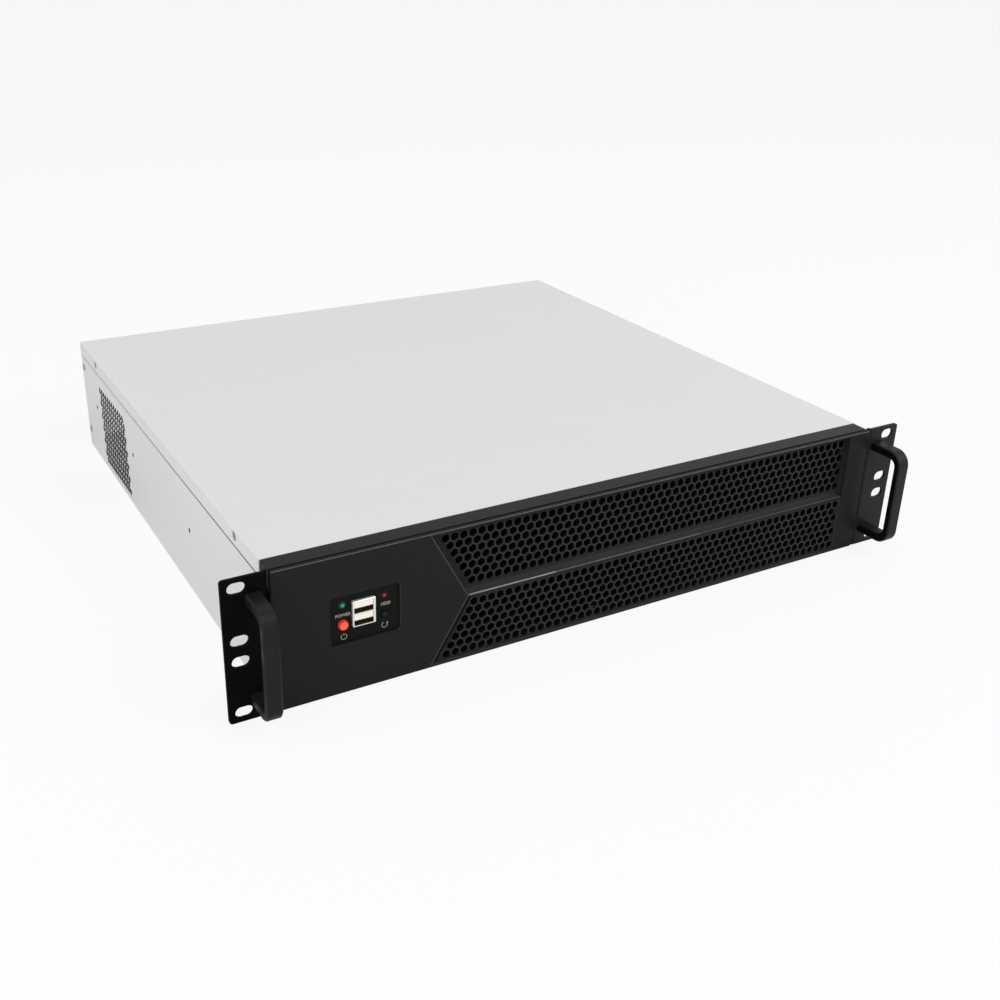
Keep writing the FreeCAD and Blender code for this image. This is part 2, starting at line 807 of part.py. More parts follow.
def arrow_edge(up):
    """Left limit of the mesh at a height."""
    tip, top, bottom = (float(v) for v in (recess_arrow, recess_upper_left, recess_lower_left))
    middle = float(S.ledge_height)
    if up > middle:
        share = (up - middle) / (float(recess_high) - middle)
        return tip + (top - tip) * share + float(S.mesh_margin)
    share = (middle - up) / (middle - float(S.recess_edge))
    return tip + (bottom - tip) * share + float(S.mesh_margin)


def build_bezel():
    """One formed sheet: returns all round, two recessed fields of hexagonal mesh with a ledge between."""
    skin = recessed_block("bezel_skin", sized(0), sized(0), sized(0))
    core = recessed_block("bezel_core", S.bezel_sheet, S.bezel_sheet * 2 / 3, S.bezel_sheet * 0.36)
    mesh = doc.addObject("Part::Feature", "mesh_holes")
    right = float(recess_right - S.mesh_margin)
    fields = ((float(S.recess_edge + S.mesh_margin), float(ledge_low - S.mesh_ledge_margin)),
              (float(ledge_high + S.mesh_ledge_margin), float(recess_high - S.mesh_margin)))
    centres = [c for low, high in fields for c in hex_rows(low, high, arrow_edge, lambda _: right)]
    flats = float(S.hex_pitch - S.hex_web)
    start = float(front_face) - 1
    depth = Vector(0, float(S.upper_recess + S.bezel_sheet) + 2, 0)
    mesh.Shape = Part.makeCompound([
        prism(hexagon(across, up, flats), lambda a, b: Vector(a, start, b), depth) for across, up in centres
    ])
    left = window_middle - S.window_width / 2
    floor = S.window_height - S.window_rise / 2
    window = rounded_block("control_window", (left, front_face - 1, floor),
                           (left + S.window_width, plate_back, floor + S.window_rise), S.window_radius)
    tools = [core, mesh, window]
    screws = []
    for step in (-1, 0, 1):
        across = step * S.bezel_screw_spacing
        tools.append(flat_screw_seat("bezel_seat_%d" % step, (across, S.bezel_screw_setback, -S.sheet / 4), "+z"))
        screws.append(flat_screw("bezel_screw_%d" % step, (across, S.bezel_screw_setback, 0), "+z"))
    return cut("front_bezel", skin, tools), group("bezel_screws", screws)


def build_filter():
    """Foam pad between the mesh and the front wall."""
    face = body_front + S.seam_gap
    low = S.bezel_sheet + S.fit_gap + S.sheet
    high = wall_top - S.sheet - S.fit_gap
    left = recess_lower_left
    pad_box = box("filter_pad", (left, face - S.filter_thickness, low), (recess_right, face, high))
    return group("dust_filter", [pad_box])


# ---- ears and handles -----------------------------------------------------------------------
def build_ear(name, side):
    """Rack ear folded from strip: a leg along the side wall and a slotted flange."""
    body = new_body(name + "_sheet")
    profile = new_sketch(body, name + "_profile", "xy")
    wall = side * half_body
    leg_face = side * (half_body + S.ear_thickness)
    tip = side * panel_tip
    front = -S.ear_thickness
    corners = [(wall, front), (tip, front), (tip, 0), (leg_face, 0), (leg_face, front + S.ear_leg),
               (wall, front + S.ear_leg)]
    outline(profile, corners if side > 0 else corners[::-1])
    pad(body, profile, panel_height)
    outside = S.ear_bend_radius + S.ear_thickness
    round_edges(body, name + "_outer_bend", outside, lambda e: runs_along(e, Z) and near(e, x=wall, y=front))
    round_edges(body, name + "_inner_bend", S.ear_bend_radius,
                lambda e: runs_along(e, Z) and near(e, x=leg_face, y=0))
    round_edges(body, name + "_corners", S.ear_corner_radius, lambda e: runs_along(e, Y) and near(e, x=tip))
    slots = new_sketch(body, name + "_slots", "xz")
    for spread in (S.outer_slot_spread, S.inner_slot_spread):
        for end in (-1, 1):
            oblong(slots, side * (panel_tip - S.rack_slot_inset), panel_middle + end * spread / 2,
                   S.rack_slot_length, S.rack_slot_height)
    pocket_through(body, slots)
    trim = new_sketch(body, name + "_trim", "yz")
    for low, high in ((-1, panel_middle - S.ear_leg_rise / 2),
                      (panel_middle + S.ear_leg_rise / 2, panel_height + 1)):
        reach = S.ear_bend_radius
        outline(trim, [(reach, low), (S.ear_leg, low), (S.ear_leg, high), (reach, high)])
    pocket_through(body, trim)
    tools = []
    screws = []
    inwards = "-x" if side > 0 else "+x"
    head_base = side * (half_body + S.ear_thickness + S.ear_screw_head)
    for step in (-1, 0, 1):
        height = panel_middle + step * S.ear_screw_spread
        tools.append(screw_hole("%s_hole_%d" % (name, step), (head_base, S.ear_screw_setback, height), inwards,
                                S.ear_screw_radius, S.ear_screw_length))
        screws.append(headed_screw("%s_screw_%d" % (name, step), (head_base, S.ear_screw_setback, height), inwards,
                                   S.ear_screw_head_radius, S.ear_screw_head, S.ear_screw_radius,
                                   S.ear_screw_length))
    for level, height in enumerate(handle_screw_heights()):
        tools.append(screw_hole("%s_handle_hole_%d" % (name, level), (side * (half_body + S.handle_stand), 1, height), "-y",
                                S.handle_screw_radius, S.ear_thickness + 2))
    return cut(name, body, tools), screws


def headed_screw(name, top, axis, head_radius, head_height, radius, length):
    """A pan-headed screw; its axis points from the head's top towards the tip."""
    head = cylinder(name + "_head", top, axis, head_radius, head_height)
    shank = cylinder(name + "_shank", top, axis, radius, length + head_height)
    return fuse(name, [head, shank])


def handle_screw_heights():
    """Heights of the two arms of a handle."""
    reach = (S.handle_height - S.handle_arm) / 2
    return panel_middle - reach, panel_middle + reach


def build_handle(name, side):
    """Bow handle of flat bar, standing on the ear and tapped for two screws from behind."""
    body = new_body(name + "_bow")
    middle = side * (half_body + S.handle_stand)
    profile = new_sketch(body, name + "_profile", "yz", middle - S.handle_width / 2)
    base = -S.ear_thickness
    front = base - S.handle_reach
    low = panel_middle - S.handle_height / 2
    high = panel_middle + S.handle_height / 2
    inner = front + S.handle_bar
    outline(profile, [(base, low), (base, low + S.handle_arm), (inner, low + S.handle_arm),
                      (inner, high - S.handle_arm), (base, high - S.handle_arm), (base, high),
                      (front, high), (front, low)])
    pad(body, profile, S.handle_width)
    round_edges(body, name + "_outside", S.handle_corner_radius,
                lambda e: runs_along(e, X) and near(e, y=front))
    round_edges(body, name + "_inside", S.handle_corner_radius / 2,
                lambda e: runs_along(e, X) and near(e, y=inner))
    faces = (middle - S.handle_width / 2, middle + S.handle_width / 2)
    bevel_edges(body, name + "_edges", S.handle_bevel, lambda e: on_face(e, faces) and not near_base(e, base))
    tools = []
    screws = []
    for level, height in enumerate(handle_screw_heights()):
        top = (middle, S.handle_screw_head, height)
        depth = S.handle_screw_head + S.handle_screw_length
        tools.append(screw_hole("%s_tap_%d" % (name, level), top, "-y", S.handle_screw_radius, depth + 0.5))
        screws.append(headed_screw("%s_screw_%d" % (name, level), top, "-y", S.handle_screw_head_radius,
                                   S.handle_screw_head, S.handle_screw_radius, S.handle_screw_length))
    return cut(name, body, tools), screws


def on_face(edge, levels):
    """Whether an edge lies wholly in one of the planes x = level."""
    bounds = edge.BoundBox
    return any(abs(bounds.XMin - float(v)) < 0.01 and abs(bounds.XMax - float(v)) < 0.01 for v in levels)


def near_base(edge, level):
    """Whether an edge lies wholly in the plane y = level."""
    bounds = edge.BoundBox
    return abs(bounds.YMin - float(level)) < 0.01 and abs(bounds.YMax - float(level)) < 0.01


# ---- control window ---------------------------------------------------------------------------
def control_spots():
    """Where the two lights and the two buttons stand: (across, up) by name."""
    left = control_middle - S.control_spread
    right = control_middle + S.control_spread
    light = S.window_height + S.indicator_lift
    push = S.window_height + S.button_lift
    return {"power_led": (left, light), "hdd_led": (right, light),
            "power_button": (left, push), "reset_button": (right, push)}


BUTTONS = {
    "power": (S.power_button_radius, S.power_button_proud),
    "reset": (S.reset_button_radius, S.reset_button_proud),
}


def build_controls():
    """Plate in the window, board behind it, and the lights, buttons and socket between them."""
    spots = control_spots()
    half_width = S.window_width / 2 + S.plate_margin
    half_rise = S.window_rise / 2 + S.plate_margin
    middle, height = window_middle, S.window_height
    plate_block = box("plate_block", (middle - half_width, plate_front, height - half_rise),
                      (middle + half_width, plate_back, height + half_rise))
    inset = S.post_radius + 0.5
    posts = [plate_block]
    taps = []
    board_tools = []
    screws = []
    for across in (middle - half_width + inset, middle + half_width - inset):
        for up in (height - half_rise + inset, height + half_rise - inset):
            tag = "%d" % len(taps)
            posts.append(cylinder("plate_post_" + tag, (across, plate_back, up), "+y", S.post_radius,
                                  board_front - plate_back))
            head_top = board_back + S.board_screw_head
            thread = S.post_radius / 2
            length = S.board_thickness + S.board_setback / 2
            taps.append(screw_hole("plate_tap_" + tag, (across, board_back, up), "-y", thread, length + 0.5))
            board_tools.append(screw_hole("board_hole_" + tag, (across, board_back + 1, up), "-y", thread, 4))
            screws.append(headed_screw("board_screw_" + tag, (across, head_top, up), "-y", S.post_radius,
                                       S.board_screw_head, thread, length))
    plate_tools = list(taps)
    usb_up = height + S.usb_lift
    usb_half = S.usb_width / 2
    gap = S.usb_wall / 2
    plate_tools.append(box("plate_usb", (control_middle - usb_half - gap, plate_front - 1,
                                         usb_up - S.usb_rise / 2 - gap),
                           (control_middle + usb_half + gap, plate_back + 1, usb_up + S.usb_rise / 2 + gap)))
    for name in ("power_led", "hdd_led"):
        across, up = spots[name]
        plate_tools.append(cylinder(name + "_hole", (across, plate_front - 1, up), "+y",
                                    S.indicator_radius + S.screw_clearance, S.plate_thickness + 2))
    for name, (radius, _) in BUTTONS.items():
        across, up = spots[name + "_button"]
        plate_tools.append(cylinder(name + "_button_hole", (across, plate_front - 1, up), "+y",
                                    radius + S.button_gap, S.plate_thickness + 2))
    plate = cut("control_plate", fuse("plate_and_posts", posts), plate_tools)
    board_block = box("board_block", (middle - half_width, board_front, height - half_rise),
                      (middle + half_width, board_back, height + half_rise))
    board = cut("control_board", board_block, board_tools)
    return plate, board, group("board_screws", screws)


def build_usb():
    """Two sockets one above the other in one metal shell, with a plastic tongue in each."""
    up = S.window_height + S.usb_lift
    mouth = plate_front - S.usb_proud
    half = S.usb_width / 2
    block = box("usb_block", (control_middle - half, mouth, up - S.usb_rise / 2),
                (control_middle + half, board_front, up + S.usb_rise / 2))
    cavities = []
    tongues = []
    inner = half - S.usb_wall
    for level in (-1, 1):
        centre = up + level * S.usb_pitch / 2
        low, high = centre - S.usb_mouth / 2, centre + S.usb_mouth / 2
        cavities.append(box("usb_mouth_%d" % level, (control_middle - inner, mouth - 1, low),
                            (control_middle + inner, board_front + 1, high)))
        heel = box("usb_heel_%d" % level, (control_middle - inner, mouth + S.usb_depth, low),
                   (control_middle + inner, board_front, high))
        reach = inner - S.usb_wall
        tongue = box("usb_tongue_%d" % level,
                     (control_middle - reach, mouth + S.usb_wall, centre + S.usb_wall / 2),
                     (control_middle + reach, board_front, centre + S.usb_wall / 2 + S.usb_tongue))
        tongues.append(fuse("usb_insert_%d" % level, [heel, tongue]))
    return cut("usb_shell", block, cavities), group("usb_inserts", tongues)


def build_light(name):
    """Indicator light on the board, its dome just proud of the plate."""
    across, up = control_spots()[name]
    front = plate_front - S.indicator_proud / 2
    stem = cylinder(name + "_stem", (across, board_front, up), "-y", S.indicator_radius, board_front - front)
    dome = cone(name + "_dome", (across, front, up), "-y", S.indicator_radius, S.indicator_radius / 2,
                S.indicator_proud / 2)
    return fuse(name, [stem, dome])


def build_button(name):
    """Push button turned about its own axis: cap, collar behind the plate, stem towards the switch."""
    across, up = control_spots()[name + "_button"]
    radius, proud = BUTTONS[name]
    body = new_body(name + "_button")
    profile = new_sketch(body, name + "_profile", "xy", up)
    front = plate_front - proud
    collar = radius + S.button_collar
    collar_front = plate_back + S.screw_clearance / 2
    collar_back = collar_front + S.button_collar * 2
    stem_end = board_front - S.switch_depth - S.button_travel - S.button_gap
    bevel = S.button_gap
    outline(profile, [(across, front), (across + radius - bevel, front), (across + radius, front + bevel),
                      (across + radius, collar_front), (across + collar, collar_front),
                      (across + collar, collar_back), (across + S.button_stem_radius, collar_back),
                      (across + S.button_stem_radius, stem_end), (across, stem_end)])
    turned = body.newObject("PartDesign::Revolution", name + "_turned")
    turned.Profile = profile
    axis = Part.LineSegment(Vector(float(across), 0, 0), Vector(float(across), 1, 0))
    line = profile.addGeometry(axis, True)
    pin_point(profile, line, 1, across, 0)
    pin_point(profile, line, 2, across, 1)
    turned.ReferenceAxis = (profile, ["Axis0"])
    turned.Angle = 360
    return body


def build_switch(name):
    """Tactile switch on the board behind a button."""
    across, up = control_spots()[name + "_button"]
    half = S.switch_side / 2
    block = box(name + "_switch_block", (across - half, board_front - S.switch_depth, up - half),
                (across + half, board_front, up + half))
    return group(name + "_switch", [block])


# ---- rivets and what stands inside -----------------------------------------------------------
def build_rivets():
    """Domed rivets through the side walls into the rear wall's flanges."""
    rivets = []
    grip = S.sheet * 2 + S.fit_gap + 1
    for side, axis in ((-1, "+x"), (1, "-x")):
        outwards = "-x" if side < 0 else "+x"
        for level, height in rivet_heights:
            name = "rivet_%d_%s" % (side, level)
            at = (side * half_body, body_rear - S.rivet_inset, height)
            head = cone(name + "_head", at, outwards, S.rivet_head_radius, S.rivet_head_radius * 0.6, S.rivet_head)
            shank = cylinder(name + "_shank", at, axis, S.rivet_radius, grip)
            rivets.append(fuse(name, [head, shank]))
    return group("rear_rivets", rivets)


def build_standoffs():
    """Tapped hexagonal studs for a main board, pressed on the floor."""
    right = wall_inside - S.board_hole_edge
    rear = body_rear - S.sheet - S.board_hole_rear
    studs = []
    for column, step in enumerate((sized(0), S.board_column_middle, S.board_column_last)):
        for row, back in enumerate((sized(0), S.board_row_middle, S.board_row_last)):
            name = "stud_%d%d" % (column, row)
            stud = doc.addObject("Part::Prism", name + "_block")
            stud.Polygon = 6
            bind(stud, "Circumradius", S.standoff_flats / math.sqrt(3))
            bind(stud, "Height", S.standoff_height)
            place(stud, (right - step, rear - back, S.sheet))
            bore = cylinder(name + "_bore", (right - step, rear - back, S.sheet * 2), "+z", S.standoff_bore,
                            S.standoff_height)
            studs.append(cut(name, stud, [bore]))
    return group("board_standoffs", studs)


foot_screws = []
foot_spots = []


def foot_hole(name, across, along):
    """Hole for a pan-headed screw that holds a foot down on the floor; the screw is kept as well."""
    top = S.sheet * 2 + S.foot_screw_head
    foot_screws.append(headed_screw(name + "_screw", (across, along, top), "-z", S.screw_head_radius,
                                    S.foot_screw_head, S.screw_radius, S.sheet * 2 - S.fit_gap))
    foot_spots.append((across, along))
    return screw_hole(name, (across, along, top), "-z", S.screw_radius, S.screw_length)


def build_drive_bracket():
    """Inverted channel for a disk drive, on two feet."""
    left, right = drive_left, drive_right
    front = body_front + S.drive_setback
    back = front + S.drive_length
    floor, top = S.sheet, S.sheet + S.drive_rise
    body = new_body("drive_body")
    profile = new_sketch(body, "drive_profile", "xz", -front)
    outline(profile, [(left - S.drive_foot, floor), (left + S.sheet, floor), (left + S.sheet, top - S.sheet),
                      (right - S.sheet, top - S.sheet), (right - S.sheet, floor), (right + S.drive_foot, floor),
                      (right + S.drive_foot, floor + S.sheet), (right, floor + S.sheet), (right, top),
                      (left, top), (left, floor + S.sheet), (left - S.drive_foot, floor + S.sheet)])
    pad(body, profile, S.drive_length, backwards=True)
    tools = []
    for row in (-1, 1):
        along = (front + back) / 2 + row * S.drive_hole_spacing / 2
        tools.append(cylinder("drive_holes_%d" % row, (left - 1, along, floor + S.drive_hole_height), "+x",
                              S.drive_hole_radius, S.drive_width + 2))
        for side, across in (("left", left - S.foot_screw_inset), ("right", right + S.foot_screw_inset)):
            tools.append(foot_hole("drive_foot_%s_%d" % (side, row), across, along))
    return cut("drive_bracket", body, tools)


def build_fan_bracket():
    """Cross wall with three round openings for 80 mm fans, on a foot."""
    face = body_front + S.fan_setback
    half = S.fan_side / 2 + S.foot_screw_inset
    left = drive_right + S.drive_foot + S.fan_drive_gap
    first = left + half
    right = first + (FANS - 1) * S.fan_spacing + half
    middle = fan_top - S.fan_side / 2
    wall = box("fan_wall", (left, face, S.sheet), (right, face + S.sheet, fan_top))
    foot = box("fan_foot", (left, face, S.sheet), (right, face + S.fan_lip, S.sheet * 2))
    tools = []
    for index in range(FANS):
        across = first + index * S.fan_spacing
        tools.append(cylinder("fan_opening_%d" % index, (across, face - 1, middle), "+y", S.fan_opening_radius,
                              S.sheet + 2))
        for side in (-1, 1):
            for level in (-1, 1):
                at = (across + side * S.fan_hole_spread / 2, face - 1, middle + level * S.fan_hole_spread / 2)
                tools.append(cylinder("fan_hole_%d_%d_%d" % (index, side, level), at, "+y", S.fan_hole_radius,
                                      S.sheet + 2))
        tools.append(foot_hole("fan_foot_%d" % index, across, face + S.foot_screw_inset + S.sheet))
    return cut("fan_bracket", fuse("fan_sheet", [wall, foot]), tools)


def build_supply_bracket():
    """Low angle beside the power supply's place, on a foot."""
    left = supply_right + S.fit_gap * 2
    front = body_rear - S.supply_bracket_setback
    back = front + S.supply_bracket_length
    wall = box("supply_wall", (left, front, S.sheet), (left + S.sheet, back, S.sheet + S.supply_bracket_rise))
    foot = box("supply_foot", (left, front, S.sheet), (left + S.supply_bracket_foot, back, S.sheet * 2))
    tools = [foot_hole("supply_foot_%d" % row, left + S.supply_bracket_foot / 2 + S.sheet,
                       (front + back) / 2 + row * S.supply_bracket_length / 3) for row in (-1, 1)]
    return cut("supply_bracket", fuse("supply_sheet", [wall, foot]), tools)


# ---- everything ---------------------------------------------------------------------------------
cover, cover_screws = build_cover()
card_covers, card_screws = build_card_covers()
bezel, bezel_screws = build_bezel()
left_ear, left_ear_screws = build_ear("left_ear", -1)
right_ear, right_ear_screws = build_ear("right_ear", 1)
left_handle, left_handle_screws = build_handle("left_handle", -1)
right_handle, right_handle_screws = build_handle("right_handle", 1)
plate, board, board_screws = build_controls()
usb_shell, usb_inserts = build_usb()
drive_bracket = build_drive_bracket()
fan_bracket = build_fan_bracket()
supply_bracket = build_supply_bracket()
finished = [
    ("chassis_tray", build_tray()),
    ("rear_panel", build_rear_panel()),
    ("front_wall", build_front_wall()),
    ("top_cover", cover),
    ("cover_screws", cover_screws),
    ("front_bezel", bezel),
    ("bezel_screws", bezel_screws),
    ("dust_filter", build_filter()),
    ("left_ear", left_ear),
    ("right_ear", right_ear),
    ("ear_screws", group("ear_screw_group", left_ear_screws + right_ear_screws)),
    ("left_handle", left_handle),
    ("right_handle", right_handle),
    ("handle_screws", group("handle_screw_group", left_handle_screws + right_handle_screws)),
    ("control_plate", plate),
    ("control_board", board),
    ("board_screws", board_screws),
    ("usb_shell", usb_shell),
    ("usb_inserts", usb_inserts),
    ("power_led", build_light("power_led")),
    ("hdd_led", build_light("hdd_led")),
    ("power_button", build_button("power")),
    ("reset_button", build_button("reset")),
    ("power_switch", build_switch("power")),
    ("reset_switch", build_switch("reset")),
    ("rear_rivets", build_rivets()),
    ("card_cover_screws", card_screws),
    ("board_standoffs", build_standoffs()),
    ("drive_bracket", drive_bracket),
    ("fan_bracket", fan_bracket),
    ("supply_bracket", supply_bracket),
    ("bracket_screws", group("bracket_screw_group", foot_screws)),
] + card_covers
doc.recompute()
for label, made in finished:
    sub_part(made, label)
doc.recompute()

for item in doc.Objects:
    if "Invalid" in item.State or "Error" in item.State:
        raise RuntimeError("%s did not build" % item.Name)
os.makedirs("parts", exist_ok=True)
for made in parts:
    if made.Shape.isNull() or not made.Shape.isValid():
        raise RuntimeError("%s is not a sound solid" % made.Label)
    made.Shape.exportStep("parts/%s.step" % made.Label)
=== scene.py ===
"""Looks of the empty 2U rack-mount server case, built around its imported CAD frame."""
import json
import math
import bmesh
import bpy
import numpy as np
from mathutils import Matrix, Vector, geometry


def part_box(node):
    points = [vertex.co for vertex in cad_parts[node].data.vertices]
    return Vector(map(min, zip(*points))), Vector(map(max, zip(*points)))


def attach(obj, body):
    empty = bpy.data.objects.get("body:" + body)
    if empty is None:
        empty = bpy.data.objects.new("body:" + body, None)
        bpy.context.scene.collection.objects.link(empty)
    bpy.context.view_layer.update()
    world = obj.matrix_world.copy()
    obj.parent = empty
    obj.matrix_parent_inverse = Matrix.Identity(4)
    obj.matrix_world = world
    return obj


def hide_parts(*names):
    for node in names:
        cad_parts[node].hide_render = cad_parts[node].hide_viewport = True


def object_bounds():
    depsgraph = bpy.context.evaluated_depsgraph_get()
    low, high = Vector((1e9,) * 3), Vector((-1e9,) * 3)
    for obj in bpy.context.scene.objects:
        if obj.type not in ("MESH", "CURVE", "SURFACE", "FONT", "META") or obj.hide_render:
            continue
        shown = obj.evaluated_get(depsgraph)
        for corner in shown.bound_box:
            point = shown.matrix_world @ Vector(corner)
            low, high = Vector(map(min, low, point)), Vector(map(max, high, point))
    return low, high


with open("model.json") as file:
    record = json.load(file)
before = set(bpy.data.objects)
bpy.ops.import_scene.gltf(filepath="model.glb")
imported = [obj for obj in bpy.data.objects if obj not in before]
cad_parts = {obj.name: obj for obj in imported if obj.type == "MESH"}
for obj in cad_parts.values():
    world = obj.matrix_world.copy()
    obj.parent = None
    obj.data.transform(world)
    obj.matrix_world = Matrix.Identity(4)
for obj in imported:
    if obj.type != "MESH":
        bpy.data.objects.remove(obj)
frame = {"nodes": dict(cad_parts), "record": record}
cad_box = [list(corner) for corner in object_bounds()]
MM = 0.001
NODES = frame["nodes"]
BASE = cad_box[0][2] / MM


# ---- materials ------------------------------------------------------------------------------
# GRAIN_HEIGHT is in metres; the three MIX numbers are the colour sockets of a mix node.
COLOUR_DETAIL = 6.0
GRAIN_DETAIL = 3.0
GRAIN_HEIGHT = 0.0002
MIX_FIRST, MIX_SECOND, MIX_COLOUR = 6, 7, 2


def noise(tree, mapping, scale, detail):
    """The output of a noise texture laid over the object."""
    made = tree.nodes.new("ShaderNodeTexNoise")
    made.inputs["Scale"].default_value = scale
    made.inputs["Detail"].default_value = detail
    tree.links.new(mapping.outputs["Vector"], made.inputs["Vector"])
    return made.outputs["Fac"]


def material(name, low, high, metallic=0.0, roughness=0.5, spread=0.05, scale=300.0, bump=0.0,
             bump_scale=900.0, specular=0.5, stretch=(1, 1, 1)):
    """Procedural surface: colour and roughness vary between two values over noise, with a fine bump."""
    made = bpy.data.materials.new(name)
    made.use_nodes = True
    nodes, links = made.node_tree.nodes, made.node_tree.links
    shader = nodes["Principled BSDF"]
    shader.inputs["Metallic"].default_value = metallic
    shader.inputs["Specular IOR Level"].default_value = specular
    where = nodes.new("ShaderNodeTexCoord")
    mapping = nodes.new("ShaderNodeMapping")
    mapping.inputs["Scale"].default_value = stretch
    links.new(where.outputs["Object"], mapping.inputs["Vector"])
    cloud = noise(made.node_tree, mapping, scale, COLOUR_DETAIL)
    colour = nodes.new("ShaderNodeMix")
    colour.data_type = "RGBA"
    colour.inputs[MIX_FIRST].default_value = (*low, 1)
    colour.inputs[MIX_SECOND].default_value = (*high, 1)
    links.new(cloud, colour.inputs["Factor"])
    links.new(colour.outputs[MIX_COLOUR], shader.inputs["Base Color"])
    rough = nodes.new("ShaderNodeMapRange")
    rough.inputs["To Min"].default_value = roughness - spread
    rough.inputs["To Max"].default_value = roughness + spread
    links.new(cloud, rough.inputs["Value"])
    links.new(rough.outputs["Result"], shader.inputs["Roughness"])
    if bump:
        relief = nodes.new("ShaderNodeBump")
        relief.inputs["Strength"].default_value = bump
        relief.inputs["Distance"].default_value = GRAIN_HEIGHT
        links.new(noise(made.node_tree, mapping, bump_scale, GRAIN_DETAIL), relief.inputs["Height"])
        links.new(relief.outputs["Normal"], shader.inputs["Normal"])
    return made


def grey(value):
    """A colour without tint."""
    return (value, value, value)


# Grain shared by the painted sheets, and the clear plastic of the lamps.
PAINT_GRAIN = dict(scale=700.0, bump=0.12, bump_scale=2200.0)
LENS = dict(roughness=0.12, spread=0.03, scale=400.0)
SURFACES = {
    # sheet metal and dark screws
    "zinc_steel": dict(low=grey(0.725), high=grey(0.755), metallic=0.4, roughness=0.48, spread=0.03,
                       scale=40.0, bump=0.03, stretch=(1.0, 6.0, 6.0)),
    # zinc painted dark: painted shade in the gap under the cover, inside the tray and the rear panel, and
    # on the inner brackets
    "zinc_painted_shade": dict(low=grey(0.035), high=grey(0.05), roughness=0.6, spread=0.04, scale=40.0,
                        bump=0.03, specular=0.1),
    "screw_dark": dict(low=grey(0.3), high=grey(0.38), metallic=0.6, roughness=0.45, spread=0.06,
                       scale=800.0, bump=0.02, specular=0.2),
    # painted front, painted highlights along its edges, and the plate
    "black_paint": dict(low=(0.0085, 0.0079, 0.0081), high=(0.0112, 0.0105, 0.0108), specular=0.13,
                        **PAINT_GRAIN),
    # a darker copy of the black paint: painted shade on the left ear and on the right handle's side that
    # faces the bezel
    "black_painted_shade": dict(low=grey(0.002), high=grey(0.0032), roughness=0.6, specular=0.03, **PAINT_GRAIN),
    # a glossier copy of the black paint: a painted sheen on the right ear
    "black_painted_sheen": dict(low=grey(0.0085), high=grey(0.011), specular=0.17, **PAINT_GRAIN),
    # the perforated field, lighter and glossier than the same paint round it: a painted sheen
    "web_painted_sheen": dict(low=grey(0.013), high=grey(0.018), roughness=0.45, specular=0.25, **PAINT_GRAIN),
    # the next three are painted highlights on the bezel's edges, crease, rolled top and window rim:
    # middling, faint and bright
    "painted_highlight_middling": dict(low=grey(0.035), high=grey(0.1), roughness=0.4, scale=60.0, bump=0.05, specular=0.3),
    "painted_highlight_faint": dict(low=grey(0.017), high=grey(0.024), roughness=0.4, scale=900.0, bump=0.05,
                       specular=0.4),
    "painted_highlight_bright": dict(low=grey(0.12), high=grey(0.28), roughness=0.35, scale=60.0, bump=0.05),
    "plate_black": dict(low=(0.005, 0.0062, 0.0052), high=(0.0066, 0.008, 0.0068), scale=900.0, bump=0.05,
                        specular=0.06),
    # handles, screws and filter
    "handle_black": dict(low=grey(0.007), high=grey(0.0095), roughness=0.42, spread=0.04, scale=500.0,
                         bump=0.04, bump_scale=2500.0, specular=0.16),
    "screw_steel": dict(low=grey(0.55), high=grey(0.66), metallic=1.0, roughness=0.3, spread=0.06,
                        scale=800.0, bump=0.02),
    "foam": dict(low=grey(0.0006), high=grey(0.002), roughness=0.95, spread=0.03, scale=1500.0, bump=0.8,
                 bump_scale=1800.0, specular=0.02),
    # buttons and lamps; their lighter middles are painted highlights
    "black_plastic": dict(low=grey(0.0025), high=grey(0.004), roughness=0.4, scale=900.0, bump=0.05,
                          specular=0.08),
    "red_plastic": dict(low=(0.58, 0.017, 0.009), high=(0.68, 0.025, 0.012), roughness=0.35, spread=0.04,
                        scale=500.0, bump=0.02, specular=0.4),
    "red_plastic_crown_highlight": dict(low=(1.0, 0.12, 0.05), high=(1.0, 0.15, 0.065), roughness=0.3, spread=0.04,
                             scale=500.0, bump=0.02),
    "black_plastic_crown_highlight": dict(low=grey(0.006), high=grey(0.009), roughness=0.3, scale=900.0, bump=0.05,
                               specular=0.15),
    "green_lens": dict(low=(0.006, 0.06, 0.04), high=(0.009, 0.08, 0.052), specular=0.12, **LENS),
    "green_lens_spot_highlight": dict(low=(0.045, 0.29, 0.2), high=(0.06, 0.34, 0.25), specular=0.3, **LENS),
    "red_lens": dict(low=(0.04, 0.0012, 0.009), high=(0.055, 0.002, 0.013), specular=0.12, **LENS),
    "red_lens_spot_highlight": dict(low=(0.24, 0.02, 0.075), high=(0.3, 0.03, 0.1), specular=0.3, **LENS),
    # board, ports and print
    "board": dict(low=(0.012, 0.07, 0.03), high=(0.02, 0.1, 0.045), roughness=0.4, scale=600.0,
                  bump=0.05),
    "cream_plastic": dict(low=(0.9, 0.85, 0.74), high=(0.95, 0.91, 0.82), scale=500.0, bump=0.03),
    "usb_bright": dict(low=grey(0.8), high=grey(0.88), metallic=0.6, roughness=0.3, scale=500.0,
                       bump=0.01),
    "usb_contact": dict(low=(0.1, 0.065, 0.03), high=(0.2, 0.14, 0.07), roughness=0.4, scale=900.0,
                        bump=0.02, specular=0.3),
    # the next is painted shade on the shell's walls inside the mouths
    "usb_painted_shade": dict(low=(0.02, 0.012, 0.006), high=(0.05, 0.03, 0.015), roughness=0.6, scale=900.0,
                     bump=0.02, specular=0.2),
    "print_white": dict(low=(0.26, 0.24, 0.19), high=(0.31, 0.29, 0.24), roughness=0.6, spread=0.04,
                        scale=2000.0, specular=0.1),
}
LOOKS = {name: material(name, **surface) for name, surface in SURFACES.items()}
